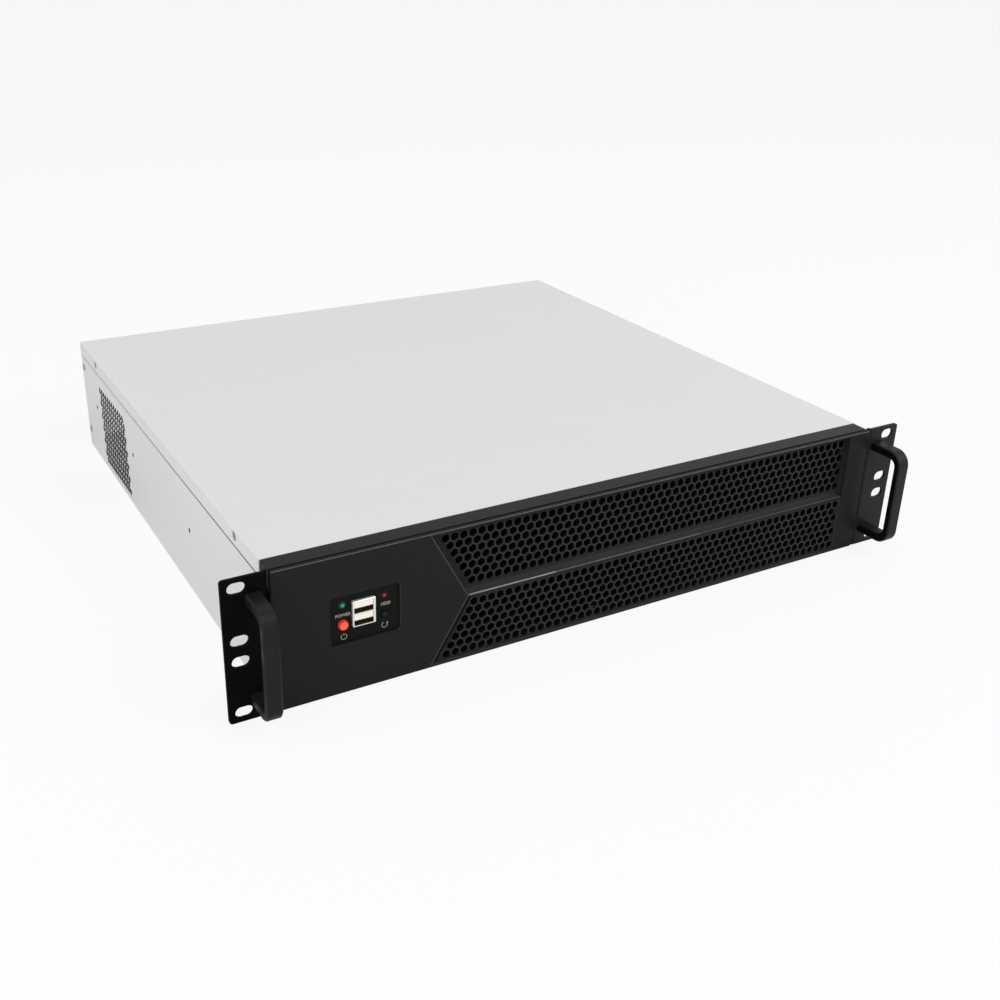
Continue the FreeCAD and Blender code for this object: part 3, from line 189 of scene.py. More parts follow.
SLOT_OF = {part["node"]: part["material_slot"] for part in frame["record"]["subparts"]}
# Nodes whose finish differs from the one that the record gives them: the plate's own darker plastic,
# painted shade on the left ear and the inner brackets, and a painted sheen on the right ear.
FINISH = {"control_plate": "plate_black", "left_ear": "black_painted_shade", "right_ear": "black_painted_sheen",
          "supply_bracket": "zinc_painted_shade", "drive_bracket": "zinc_painted_shade"}
for node, thing in NODES.items():
    thing.data.materials.clear()
    thing.data.materials.append(LOOKS[FINISH.get(node, SLOT_OF[node])])


# ---- pieces made in mesh code -------------------------------------------------------------------
def span(node):
    """A node's lowest and highest corners in millimetres."""
    return tuple(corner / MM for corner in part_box(node))


def piece(name, points, faces, look, body="case", replaces=()):
    """A mesh object from points in millimetres, riding on a body."""
    mesh = bpy.data.meshes.new(name)
    mesh.from_pydata([Vector(p) * MM for p in points], [], faces)
    mesh.update()
    made = bpy.data.objects.new(name, mesh)
    bpy.context.scene.collection.objects.link(made)
    mesh.materials.append(LOOKS[look])
    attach(made, body)
    if replaces:
        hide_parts(*replaces)
    return made


def shade(thing, degrees):
    """Smooth shading that keeps edges sharper than the angle; none at 0."""
    if not degrees:
        return
    mesh = thing.data
    mesh.polygons.foreach_set("use_smooth", [True] * len(mesh.polygons))
    mesh.set_sharp_from_angle(angle=math.radians(degrees))


def weld(thing, distance=0.01):
    """Joins points closer than a distance in millimetres and turns the faces one way."""
    work = bmesh.new()
    work.from_mesh(thing.data)
    bmesh.ops.remove_doubles(work, verts=work.verts, dist=distance * MM)
    bmesh.ops.recalc_face_normals(work, faces=work.faces)
    work.to_mesh(thing.data)
    work.free()


def face_out(thing, direction):
    """Turns a whole open sheet so that its faces along a direction look that way."""
    votes = sum(poly.area * poly.normal.dot(direction) for poly in thing.data.polygons)
    if votes < 0:
        thing.data.flip_normals()


def second_look(thing, look, chosen):
    """Gives the faces of a piece that a test chooses a look of their own."""
    thing.data.materials.append(LOOKS[look])
    slot = len(thing.data.materials) - 1
    for poly in thing.data.polygons:
        if chosen(poly):
            poly.material_index = slot


def thicken(thing, thickness, inner_slot=0):
    """Gives an outer skin the thickness of its sheet, inwards; the inside may have a slot of its own."""
    skin = thing.modifiers.new("sheet", "SOLIDIFY")
    skin.thickness = thickness * MM
    skin.offset = -1
    skin.use_even_offset = False
    skin.material_offset = inner_slot
    skin.material_offset_rim = inner_slot
    bpy.context.view_layer.update()
    shown = thing.evaluated_get(bpy.context.evaluated_depsgraph_get())
    mesh = bpy.data.meshes.new_from_object(shown)
    thing.modifiers.clear()
    thing.data = mesh


def quarter(steps):
    """Angles from 0 to a right angle."""
    return [math.pi / 2 * i / steps for i in range(steps + 1)]


def hexagon(across, up, flats):
    """A hexagon that stands on a point."""
    radius = flats / math.sqrt(3)
    return [(across + radius * math.cos(math.radians(a)), up + radius * math.sin(math.radians(a)))
            for a in range(30, 390, 60)]


def round_loop(across, up, radius, count=24):
    """Points of a circle, anticlockwise."""
    turns = [2 * math.pi * i / count for i in range(count)]
    return [(across + radius * math.cos(turn), up + radius * math.sin(turn)) for turn in turns]


def rectangle(x0, z0, x1, z1):
    """Corners, anticlockwise from the lowest on the left."""
    return [(x0, z0), (x1, z0), (x1, z1), (x0, z1)]


def rounded_loop(x0, z0, x1, z1, radius, steps=5):
    """Corner points of a rectangle with round corners, anticlockwise."""
    loop = []
    for cx, cz, start in ((x1 - radius, z1 - radius, 0), (x0 + radius, z1 - radius, 90),
                          (x0 + radius, z0 + radius, 180), (x1 - radius, z0 + radius, 270)):
        for i in range(steps + 1):
            angle = math.radians(start + 90 * i / steps)
            loop.append((cx + radius * math.cos(angle), cz + radius * math.sin(angle)))
    return loop


def bridge(near, far):
    """Four-sided faces between two closed loops of as many points."""
    count = len(near)
    return [(near[i], near[(i + 1) % count], far[(i + 1) % count], far[i]) for i in range(count)]


def face_list(faces, first=0):
    """Faces as plain tuples, counted on from a first point."""
    return [tuple(first + int(v) for v in face) for face in faces]


def inside(loop):
    """A test of whether points lie in a convex anticlockwise loop."""
    corners = np.array(loop)
    edges = np.roll(corners, -1, axis=0) - corners

    def test(points):
        offset = points[:, None, :] - corners[None]
        turn = edges[None, :, 0] * offset[:, :, 1] - edges[None, :, 1] * offset[:, :, 0]
        return (turn > 0).all(axis=1)
    return test


BATCH = 2000


def in_hexagons(middles, flats):
    """A test of whether points lie in any of many hexagons; the points go in batches to spare memory."""
    middles = np.array(middles)

    def test(points):
        hit = np.zeros(len(points), bool)
        for start in range(0, len(points), BATCH):
            part = np.abs(points[start:start + BATCH, None, :] - middles[None])
            reach = np.maximum(part[:, :, 0], part[:, :, 0] / 2 + part[:, :, 1] * math.sqrt(3) / 2)
            hit[start:start + BATCH] = (reach < flats / 2).any(axis=1)
        return hit
    return test


def in_turned_hexagons(middles, flats):
    """As in_hexagons, for hexagons turned by a quarter."""
    test = in_hexagons([(y, x) for x, y in middles], flats)
    return lambda points: test(points[:, ::-1])


# Points of the flat layout closer than this are one point.
WELD_LIMIT = 1e-4


def punch(outline, holes, lines=(), tests=()):
    """Flat triangles of a convex outline less its holes; the lines stay as edges."""
    points, edges = [], []
    for loop in [outline, *holes]:
        first = len(points)
        points += loop
        edges += [(first + i, first + (i + 1) % len(loop)) for i in range(len(loop))]
    for line in lines:
        first = len(points)
        points += line
        edges += [(first + i, first + i + 1) for i in range(len(line) - 1)]
    flat = [Vector(p) for p in points]
    places, _, faces, *_ = geometry.delaunay_2d_cdt(flat, edges, [], 0, WELD_LIMIT)
    places = np.array([tuple(p) for p in places])
    faces = np.array([f for f in faces if len(f) == 3])
    middles = places[faces].mean(axis=1)
    keep = inside(outline)(middles)
    for test in tests:
        keep &= ~test(middles)
    return places, faces[keep]


# ---- bezel: across is from the case's middle, heights are from its underside -----------------------
# The sheet, its rolled edge and the seam behind it.
SHEET = 1.2
FORMED_EDGE = 28
BEND, CORNER, FACE_CORNER = 1.0, 1.2, 0.3
BEND_STEPS = 5
SEAM_NEAR, SEAM_FAR, SEAM_EASE, SEAM_DEPTH = 1.5, 3.2, 0.2, 1.8
# The punched mesh: pitch, width across flats, each recess's top row and the holes in every row.
PITCH = 5.93
HOLE = 4.85
ROW = PITCH * math.sqrt(3) / 2
MESH_RIGHT = 193.5
UPPER_ROW, LOWER_ROW = 80.4, 36.7
UPPER_COUNTS = (52, 51, 51, 50, 50, 49, 49)
LOWER_COUNTS = UPPER_COUNTS[::-1]
# The two recesses meet at the arrow's tip, and their left ends slant away from it to its feet.
# Slopes are the widths of the sides from the bottom one, anticlockwise; the slanted end comes last.
FIELD_RIGHT, TIP, FOOT = 197.2, -94.4, -119.6
FIELD_BOTTOM, UPPER_BOTTOM, LOWER_TOP, FIELD_TOP = 1.5, 40.8, 43.6, 86.6
UPPER_DEPTH, LOWER_DEPTH = 4.0, 1.0
UPPER_SLOPES, LOWER_SLOPES = (4.8, 1.0, 1.0, 1.3), (1.0, 1.0, 0.001, 1.0)
SLANTED = 3
# The control window: left, bottom, right, top. Its rim has a painted highlight right of WINDOW_RIM_LEFT.
WINDOW = (-181.6, 32.5, -139.4, 62.5)
WINDOW_CORNER, WINDOW_RIM = 2.0, 0.2
WINDOW_RIM_LEFT = -141.0
# Distances inside the lower slanted end at which the groove starts, is deepest and ends.
GROOVE = (1.2, 1.9, 2.6)
GROOVE_DEPTH, GROOVE_TOP, GROOVE_FOOT = 1.3, 41.0, 1.0
# Painted highlights on the lips outside the slanted ends, on the crease on the ledge between the recesses,
# and on the rolled top.
LIP, LIP_INSIDE, LIP_SPLIT = 0.9, 0.08, 42.4
LIP_FOOT, LIP_TOP = 1.5, 3.0
CREASE = (BASE + 41.55, BASE + 42.35)
CREASE_ENDS = (-35.0, 75.0)
# the webs' painted sheen covers hexagons this share of the pitch across
WEB_REACH = 1.05
ROLLED_BANDS, ROLLED_HEIGHT = 2, 1.1


def mesh_middles(top, counts):
    """Middles of staggered rows of holes, each from its right end, the top row first."""
    return [(MESH_RIGHT - PITCH / 2 * (row % 2) - i * PITCH, BASE + top - row * ROW)
            for row, count in enumerate(counts) for i in range(count)]


def shift_line(a, b, distance):
    """A line through two points moved to its left, as (point, direction)."""
    direction = Vector((b[0] - a[0], b[1] - a[1])).normalized()
    normal = Vector((-direction.y, direction.x))
    return Vector(a) + normal * distance, direction


def meet(one, two):
    """Where two lines cross."""
    (p, d), (q, e) = one, two
    cross = d.x * e.y - d.y * e.x
    offset = q - p
    return p + d * ((offset.x * e.y - offset.y * e.x) / cross)


# Each end of a slope is rounded over this share of it; lines follow the rounding at these shares.
EASE = 0.16
STEPS = [EASE * i / 2 for i in range(-2, 3)]
SHARES = [*STEPS, 0.5, *(1 + step for step in STEPS)]


def eased(share):
    """0 to 1 with short rounded ends."""
    foot = np.where(share > -EASE, (share + EASE) ** 2 / (4 * EASE), 0)
    low = np.where(share < EASE, foot, share)
    head = np.where(share < 1 + EASE, 1 - (1 + EASE - share) ** 2 / (4 * EASE), 1)
    return np.where(share > 1 - EASE, head, low)


class Recess:
    """A sunk field whose sides slope in, each over its own width, to a flat floor."""

    def __init__(self, corners, widths, depth):
        self.corners = [Vector(c) for c in corners]
        self.widths = widths
        self.depth = depth

    def loop(self, share):
        """The outline at a share of the depth; below 0 and above 1 it lies beyond the slopes."""
        count = len(self.corners)
        lines = [shift_line(self.corners[i], self.corners[(i + 1) % count], self.widths[i] * share)
                 for i in range(count)]
        return [tuple(meet(lines[i - 1], lines[i])) for i in range(count)]

    def reach(self, index, points):
        """How far points lie inside one edge."""
        a, b = self.corners[index], self.corners[(index + 1) % len(self.corners)]
        along = (b - a).normalized()
        return (points[:, 0] - a.x) * -along.y + (points[:, 1] - a.y) * along.x

    def depth_at(self, points):
        """How deep points lie."""
        shares = [self.reach(i, points) / width for i, width in enumerate(self.widths)]
        return self.depth * eased(np.minimum.reduce(shares))

    def line_inside(self, index, reach):
        """A line inside one edge, from end to end of that edge."""
        widths = [reach if i == index else 0.0 for i in range(len(self.corners))]
        loop = Recess(self.corners, widths, 0).loop(1)
        return [loop[index], loop[(index + 1) % len(loop)]]


def window_loop(margin):
    """The control window's outline, a margin wider all round."""
    left, bottom, right, top = WINDOW
    return rounded_loop(left - margin, BASE + bottom - margin, right + margin, BASE + top + margin,
                        WINDOW_CORNER + margin)


bezel_low, bezel_high = span("front_bezel")
mesh_holes = mesh_middles(UPPER_ROW, UPPER_COUNTS) + mesh_middles(LOWER_ROW, LOWER_COUNTS)
upper = Recess([(TIP, BASE + UPPER_BOTTOM), (FIELD_RIGHT, BASE + UPPER_BOTTOM),
                (FIELD_RIGHT, BASE + FIELD_TOP), (FOOT, BASE + FIELD_TOP)], UPPER_SLOPES, UPPER_DEPTH)
lower = Recess([(FOOT, BASE + FIELD_BOTTOM), (FIELD_RIGHT, BASE + FIELD_BOTTOM),
                (FIELD_RIGHT, BASE + LOWER_TOP), (TIP, BASE + LOWER_TOP)], LOWER_SLOPES, LOWER_DEPTH)
window, window_edge = window_loop(0.0), window_loop(WINDOW_RIM)


def bezel_lines(outline):
    """Lines that the flat sheet is folded along, or that bound its painted highlights."""
    fits = inside(outline)
    loops = [recess.loop(share) for recess in (upper, lower) for share in SHARES]
    lines = [loop + loop[:1] for loop in loops if fits(np.array(loop)).all()]
    lines += [lower.line_inside(SLANTED, reach) for reach in GROOVE]
    lines += [recess.line_inside(SLANTED, -LIP) for recess in (upper, lower)]
    lines += [[(TIP, z), (FIELD_RIGHT, z)] for z in CREASE]
    lines += [[(x, z) for z in CREASE] for x in CREASE_ENDS]
    lines.append(window_edge + window_edge[:1])
    return lines


def bezel_depth(places):
    """How far the face is sunk: the two recesses, and a groove along the lower one's slanted end."""
    start, middle, _ = GROOVE
    groove = np.clip(1 - np.abs(lower.reach(SLANTED, places) - middle) / (middle - start), 0, 1)
    heights = places[:, 1]
    groove *= (heights < BASE + GROOVE_TOP) & (heights > lower.corners[0].y + GROOVE_FOOT)
    return np.maximum(upper.depth_at(places), lower.depth_at(places)) + GROOVE_DEPTH * groove


def bezel_looks(middles):
    """Which faces of the punched sheet get painted highlights or the webs' painted sheen; a later look
    covers an earlier one.
    """
    across, heights = middles[:, 0], middles[:, 1]
    lips = np.zeros(len(middles), bool)
    for recess, side in ((upper, 1), (lower, -1)):
        reach = recess.reach(SLANTED, middles)
        lips |= (reach > -LIP) & (reach < LIP_INSIDE) & (side * (heights - BASE - LIP_SPLIT) > 0)
    lips &= (heights > lower.corners[0].y + LIP_FOOT) & (heights < bezel_high.z - LIP_TOP)
    # painted highlight on the window's right rim
    lips |= inside(window_edge)(middles) & (across > WINDOW_RIM_LEFT)
    crease = (heights > CREASE[0]) & (heights < CREASE[1])
    crease &= (across > TIP) & (across < FIELD_RIGHT)
    bright_end, faint_end = CREASE_ENDS
    # the lips and the crease's right part get the faint painted highlight, its left end the bright one, and
    # between them the middling one
    return {"painted_highlight_faint": lips | crease & (across > faint_end),
            "painted_highlight_bright": crease & (across < bright_end),
            "painted_highlight_middling": crease & (across > bright_end) & (across < faint_end),
            "web_painted_sheen": in_hexagons(mesh_holes, PITCH * WEB_REACH)(middles)}


def bezel_rim():
    """Loops of points from the face's edge round the bend, past the seam, to the back."""
    rings = [(BEND * (1 - math.sin(angle)), BEND * (1 - math.cos(angle)),
              FACE_CORNER + (CORNER - FACE_CORNER) * i / BEND_STEPS)
             for i, angle in enumerate(quarter(BEND_STEPS))]
    rings += [(0.0, SEAM_NEAR, CORNER), (SEAM_DEPTH, SEAM_NEAR + SEAM_EASE, CORNER),
              (SEAM_DEPTH, SEAM_FAR - SEAM_EASE, CORNER), (0.0, SEAM_FAR, CORNER),
              (0.0, bezel_high.y - bezel_low.y, CORNER)]
    return [[(x, bezel_low.y + back, z)
             for x, z in rounded_loop(bezel_low.x + inset, bezel_low.z + inset,
                                      bezel_high.x - inset, bezel_high.z - inset, radius)]
            for inset, back, radius in rings]


def build_bezel():
    """Formed and punched sheet with rolled edges and returns all round."""
    outline = rounded_loop(bezel_low.x + BEND, bezel_low.z + BEND,
                           bezel_high.x - BEND, bezel_high.z - BEND, FACE_CORNER)
    holes = [hexagon(x, z, HOLE) for x, z in mesh_holes] + [window]
    places, faces = punch(outline, holes, bezel_lines(outline),
                          (in_hexagons(mesh_holes, HOLE), inside(window)))
    points = [(x, bezel_low.y + depth, z) for (x, z), depth in zip(places, bezel_depth(places))]
    loops = []
    for ring in bezel_rim():
        loops.append(range(len(points), len(points) + len(ring)))
        points += ring
    rim = [quad for near, far in zip(loops, loops[1:]) for quad in bridge(near, far)]
    made = piece("bezel_shell", points, face_list(faces) + rim, "black_paint",
                 replaces=["front_bezel"])
    looks = {look: set(np.flatnonzero(mask))
             for look, mask in bezel_looks(places[faces].mean(axis=1)).items()}
    # painted highlight along the rolled top edge
    looks["painted_highlight_middling"].update(
        len(faces) + i for i, quad in enumerate(rim[:ROLLED_BANDS * len(loops[0])])
        if min(points[v][2] for v in quad) > bezel_high.z - ROLLED_HEIGHT)
    for look, chosen in looks.items():
        second_look(made, look, lambda poly: poly.index in chosen)
    weld(made)
    thicken(made, SHEET)
    shade(made, FORMED_EDGE)


build_bezel()


# ---- body ---------------------------------------------------------------------------------------
TRAY_SHEET = 0.9
TRAY_BEND, TRAY_BEND_STEPS, BEND_END = 1.6, 6, 0.4
# The walls step in by SHELF_INSET under the cover; WALL_TOP is the profile's point where they step out.
SHELF_INSET, SHELF_EASE = 1.4, 0.2
# Points of the step lie SHELF_DROPS below the seam; the tray has painted shade from SHELF_SHADE below it
# upwards.
SHELF_DROPS = (0.75, 0.8, 1.0)
SHELF_SHADE = 0.9
WALL_TOP = 4
VENT_ROWS = 12
VENT_FLATS = 5.15
VENT_MIDDLE = (327.5, BASE + 37.0)
RAIL_HOLES = (142.0, 274.0, 378.5)
RAIL_HOLE_RADIUS = 1.7
RAIL_HEIGHT = BASE + 46.0
# The rear panel's faces are inside it, and get painted shade, when deeper than the first and nearer the
# middle than the second.
PANEL_EDGE, PANEL_INSIDE = 3.0, 212.0
# A face looks inwards, and gets painted shade, when its normal leans this far towards the front, or towards
# the bezel.
LOOKS_FORWARD, LOOKS_AT_BEZEL = -0.5, -0.75


def tray_profile(low, high, seam):
    """Section from the left wall's top, stepped in under the cover, to the floor, then mirrored."""
    half, shelf = high.x, -high.x + SHELF_INSET
    left = [(shelf, high.z), (shelf, seam), (shelf - SHELF_EASE, seam - SHELF_DROPS[0]),
            (-half + SHELF_EASE, seam - SHELF_DROPS[1]), (-half, seam - SHELF_DROPS[2]),
            (-half, low.z + TRAY_BEND + BEND_END)]
    left += [(-half + TRAY_BEND * (1 - math.cos(angle)), low.z + TRAY_BEND * (1 - math.sin(angle)))
             for angle in quarter(TRAY_BEND_STEPS)]
    left.append((-half + TRAY_BEND + BEND_END, low.z))
    return left + [(-x, z) for x, z in reversed(left)]


def vent_middles():
    """Middles of the vent's holes as (depth, height), staggered row by row."""
    places = []
    for row in range(VENT_ROWS):
        stagger = PITCH / 4 * (1 if row % 2 else -1)
        for column in range(VENT_ROWS):
            places.append((VENT_MIDDLE[0] + (column - (VENT_ROWS - 1) / 2) * PITCH + stagger,
                           VENT_MIDDLE[1] + (row - (VENT_ROWS - 1) / 2) * ROW))
    return places


def build_tray():
    """Floor and side walls as one folded sheet, punched flat and then bent round its profile."""
    low, high = span("chassis_tray")
    seam = span("top_cover")[0].z
    profile = tray_profile(low, high, seam)
    along = [0.0]
    for (x0, z0), (x1, z1) in zip(profile, profile[1:]):
        along.append(along[-1] + math.hypot(x1 - x0, z1 - z0))
    length = along[-1]
    zero = along[WALL_TOP] + profile[WALL_TOP][1]
    vents = [(zero - z, y) for y, z in vent_middles()]
    rail = zero - RAIL_HEIGHT
    rounds = [round_loop(u, y, RAIL_HOLE_RADIUS, 20) for y in RAIL_HOLES for u in (rail, length - rail)]
    hexagons = [[(u, v) for v, u in hexagon(y, x, VENT_FLATS)] for x, y in vents]
    folds = [[(u, low.y), (u, high.y)] for u in along[1:-1]]
    tests = [in_turned_hexagons(vents, VENT_FLATS)] + [inside(loop) for loop in rounds]
    places, faces = punch(rectangle(0.0, low.y, length, high.y), hexagons + rounds, folds, tests)
    points = []
    for u, y in places:
        index = min(int(np.searchsorted(along, u, side="right")) - 1, len(along) - 2)
        share = (u - along[index]) / (along[index + 1] - along[index])
        (x0, z0), (x1, z1) = profile[index], profile[index + 1]
        points.append((x0 + (x1 - x0) * share, y, z0 + (z1 - z0) * share))
    made = piece("tray_shell", points, face_list(faces), "zinc_steel", replaces=["chassis_tray"])
    weld(made, distance=0.001)
    face_out(made, Vector((0, 0, -1)))
    # painted shade on the step and the walls' tops in the gap under the cover
    second_look(made, "zinc_painted_shade", lambda poly: poly.center.z > (seam - SHELF_SHADE) * MM)
    # the inner skin and the holes' rims take the painted shade as well
    thicken(made, TRAY_SHEET, 1)
    shade(made, FORMED_EDGE)


def stand_in(node, name, look, chosen):
    """A copy of a node's mesh that stands for it, with a second look on the faces that a test chooses."""
    made = bpy.data.objects.new(name, NODES[node].data.copy())
    bpy.context.scene.collection.objects.link(made)
    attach(made, "case")
    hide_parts(node)
    second_look(made, look, chosen)


def paint_shade_on_hidden_sides():
    """Painted shade on the rear panel's inside, and on the side of the right handle that looks at the
    bezel.
    """
    back = (span("rear_panel")[1].y - PANEL_EDGE) * MM
    across = PANEL_INSIDE * MM
    stand_in("rear_panel", "rear_panel_sheet", "zinc_painted_shade",
             lambda poly: poly.normal.y < LOOKS_FORWARD
             or poly.center.y < back and abs(poly.center.x) < across)
    stand_in("right_handle", "right_handle_bar", "black_painted_shade",
             lambda poly: poly.normal.x < LOOKS_AT_BEZEL)


build_tray()
paint_shade_on_hidden_sides()


# ---- turned and pressed small parts -------------------------------------------------------------
# Shares of a head's radius: the cross's arm, half its width and its depth; its floor is narrower.
CROSS_ARM, CROSS_HALF, CROSS_DEPTH = 0.56, 0.14, 0.42
CROSS_TAPER = 0.8
# Points of a node closer than this, in millimetres, are one point.
TOUCHING = 0.001


def cross_loop(arm, half):
    """A plus sign, anticlockwise, one quarter after another."""
    loop, corner = [], [(half, half), (half, arm), (-half, arm)]
    for _ in range(4):
        loop += corner
        corner = [(-b, a) for a, b in corner]
    return loop


class Sketch:
    """Points and faces gathered for one piece; shapes stand on a base point along an outward axis."""

    def __init__(self):
        self.points = []
        self.faces = []

    def stand(self, base, axis):
        """Moves the base point; shapes added from here on stand there."""
        self.base = Vector(base)
        self.out = Vector(axis).normalized()
        lift = Vector((0, 0, 1)) if abs(self.out.z) < 0.9 else Vector((0, 1, 0))
        self.across = lift.cross(self.out).normalized()
        self.up = self.out.cross(self.across)
        return self

    def add(self, loop, height):
        """Points of a loop at a height; gives their numbers."""
        first = len(self.points)
        self.points += [tuple(self.base + self.across * a + self.up * b + self.out * height)
                        for a, b in loop]
        return list(range(first, len(self.points)))

    def sheet(self, places, faces, height):
        """A punched sheet at a height."""
        first = len(self.points)
        self.add([tuple(p) for p in places], height)
        self.faces += face_list(faces, first)

    def stack(self, loops, front=False, back=False):
        """Faces through a row of loops, closed at the first or the last if asked."""
        for near, far in zip(loops, loops[1:]):
            self.faces += bridge(near, far)
        self.faces += [tuple(loops[0])] * front + [tuple(loops[-1])] * back

    def turned(self, profile, count=28):
        """A turned form through (radius, height) pairs; a radius of 0 closes an end with triangles."""
        rings = [self.add(round_loop(0, 0, radius, count) if radius else [(0, 0)], height)
                 for radius, height in profile]
        for near, far in zip(rings, rings[1:]):
            for i in range(count):
                j = (i + 1) % count
                corners = (near[i % len(near)], near[j % len(near)], far[j % len(far)], far[i % len(far)])
                self.faces.append(tuple(dict.fromkeys(corners)))

    def cross_head(self, radius, height, shank, length, edge=0.35, count=28):
        """Screw with a cross recess in a head of a radius and height, and a plain shank below it."""
        arm, half, deep = radius * CROSS_ARM, radius * CROSS_HALF, radius * CROSS_DEPTH
        cross = cross_loop(arm, half)
        rim = round_loop(0, 0, radius - edge, count)
        bars = [rectangle(-arm, -half, arm, half), rectangle(-half, -arm, half, arm)]
        places, faces = punch(rim, [cross], (), [inside(bar) for bar in bars])
        self.sheet(places, faces, height)
        floor = [(a * CROSS_TAPER, b * CROSS_TAPER) for a, b in cross]
        self.stack([self.add(cross, height), self.add(floor, height - deep)], back=True)
        self.turned([(radius - edge, height), (radius - edge * 0.4, height - edge * 0.25),
                     (radius, height - edge), (radius, 0.0), (shank, 0.0), (shank, -length),
                     (0, -length)], count)

    def box(self, low, high, bevel=0.15):
        """A block with the edges of its two ends bevelled, between corners as (across, up, out)."""
        loops = []
        for inset, height in ((bevel, low[2]), (0, low[2] + bevel), (0, high[2] - bevel), (bevel, high[2])):
            corners = rectangle(low[0] + inset, low[1] + inset, high[0] - inset, high[1] - inset)
            loops.append(self.add(corners, height))
        self.stack(loops, front=True, back=True)

    def make(self, name, look, body="case", replaces=(), smooth=35.0):
        """The piece itself, its touching points joined."""
        made = piece(name, self.points, self.faces, look, body, replaces)
        weld(made, distance=0.004)
        shade(made, smooth)
        return made


def islands(node):
    """Lowest and highest corners in millimetres of each separate solid in a node."""
    work = bmesh.new()
    work.from_mesh(NODES[node].data)
    bmesh.ops.remove_doubles(work, verts=work.verts, dist=TOUCHING * MM)
    left = set(work.verts)
    found = []
    while left:
        heap = [left.pop()]
        group = []
        while heap:
            vert = heap.pop()
            group.append(vert.co / MM)
            for edge in vert.link_edges:
                other = edge.other_vert(vert)
                if other in left:
                    left.remove(other)
                    heap.append(other)
        found.append((Vector([min(p[i] for p in group) for i in range(3)]),
                      Vector([max(p[i] for p in group) for i in range(3)])))
    work.free()
    return sorted(found, key=lambda box: tuple(round(v, 3) for v in box[0]))


def outward_x(middle):
    """Away from the case's middle, to the left or the right."""
    return Vector((1, 0, 0)) if middle.x > 0 else Vector((-1, 0, 0))


def always(x, y, z):
    """The same outward side for every screw of a node."""
    return lambda middle: Vector((x, y, z))


def build_screws(node, axis, head, look="screw_steel"):
    """Cross-recessed screws in place of a node's; axis gives the outward side, head its thickness."""
    sketch = Sketch()
    for low, high in islands(node):
        middle = (low + high) / 2
        out = axis(middle)
        sideways = [i for i in range(3) if abs(out[i]) < 0.5]
        radius = (high[sideways[0]] - low[sideways[0]]) / 2
        reach = abs((high - low).dot(out))
        foot = middle + out * (reach / 2 - head)
        sketch.stand(foot, out).cross_head(radius, head, radius * 0.5, reach - head)
    sketch.make(node + "_cut", look, replaces=[node])


build_screws("cover_screws", outward_x, 1.2, "screw_dark")
build_screws("ear_screws", outward_x, 2.0)
build_screws("card_cover_screws", always(0, 1, 0), 1.2)
build_screws("handle_screws", always(0, 1, 0), 1.6)
build_screws("bezel_screws", always(0, 0, -1), 1.2)
build_screws("bracket_screws", always(0, 0, 1), 1.5)
build_screws("board_screws", always(0, 1, 0), 1.2)

RIVET_FLANGE, RIVET_SHANK = 0.8, 1.55
HOLLOW_RADIUS, HOLLOW_DEPTH = 1.1, 0.6


def build_rivets():
    """Blind rivets: a domed flange round the hollow that the mandrel leaves."""
    sketch = Sketch()
    for low, high in islands("rear_rivets"):
        middle = (low + high) / 2
        out = outward_x(middle)
        radius = (high.z - low.z) / 2
        reach = high.x - low.x
        end = RIVET_FLANGE - reach
        sketch.stand(middle + out * (reach / 2 - RIVET_FLANGE), out)
        sketch.turned([(0, -HOLLOW_DEPTH), (HOLLOW_RADIUS, -HOLLOW_DEPTH), (HOLLOW_RADIUS, 0.45),
                       (1.35, 0.72), (1.8, 0.78), (radius - 0.5, 0.5), (radius - 0.1, 0.2), (radius, 0.0),
                       (RIVET_SHANK, 0.0), (RIVET_SHANK, end), (0, end)])
    sketch.make("rear_rivets_domed", "screw_dark", replaces=["rear_rivets"])


build_rivets()


# ---- front controls -------------------------------------------------------------------------------
FRONT = Vector((0, -1, 0))
plate_face = span("control_plate")[0].y
# The dome starts and the flange ends below the lamp's tip, at shares of how far it stands out.
DOME_RADIUS, DOME_STEPS, DOME_SHARE = 1.95, 9, 0.85
# the last of the next four is the radius of the painted highlight in each lens's middle
DOME_FLANGE, FLANGE_SHARE, LAMP_STEM, LAMP_SPOT_HIGHLIGHT = 2.1, 0.9, 1.5, 1.0
# A button's collar starts this far behind the plate's front face.
COLLAR_BEHIND, COLLAR_LENGTH = 1.58, 1.39
BUTTON_STEM = 1.2
# the painted highlight on a button's crown reaches this share of the cap's radius, and this deep
CROWN_HIGHLIGHT_SHARE, CROWN_HIGHLIGHT_DEPTH = 0.7, 0.5


def face_of(node):
    """Middle of a node's front face, and its radius and length, in millimetres."""
    low, high = span(node)
    middle = Vector(((low.x + high.x) / 2, low.y, (low.z + high.z) / 2))
    return middle, (high.x - low.x) / 2, high.y - low.y


def near_axis(poly, middle, radius, depth):
    """Whether a face lies near the middle of a front face, within a radius and a depth."""
    apart = poly.center / MM - middle
    return math.hypot(apart.x, apart.z) < radius and apart.y < depth


def build_light(node, look):
    """Lens dome standing on a small flange against the plate."""
    middle, radius, length = face_of(node)
    stand = plate_face - middle.y
    stem = min(radius, LAMP_STEM)
    dome = [(DOME_RADIUS * math.cos(angle), stand * DOME_SHARE * (math.sin(angle) - 1))
            for angle in quarter(DOME_STEPS)[:-1]]
    sketch = Sketch().stand(middle, FRONT)
    sketch.turned([(0, -length), (stem, -length), (stem, -stand), (DOME_FLANGE, -stand),
                   (DOME_FLANGE, -stand * FLANGE_SHARE), *dome, (0, 0.0)])
    made = sketch.make(node + "_dome", look, replaces=[node], smooth=60)
    # the lens's lighter middle is a painted highlight
    second_look(made, look + "_spot_highlight", lambda poly: near_axis(poly, middle, LAMP_SPOT_HIGHLIGHT, stand))


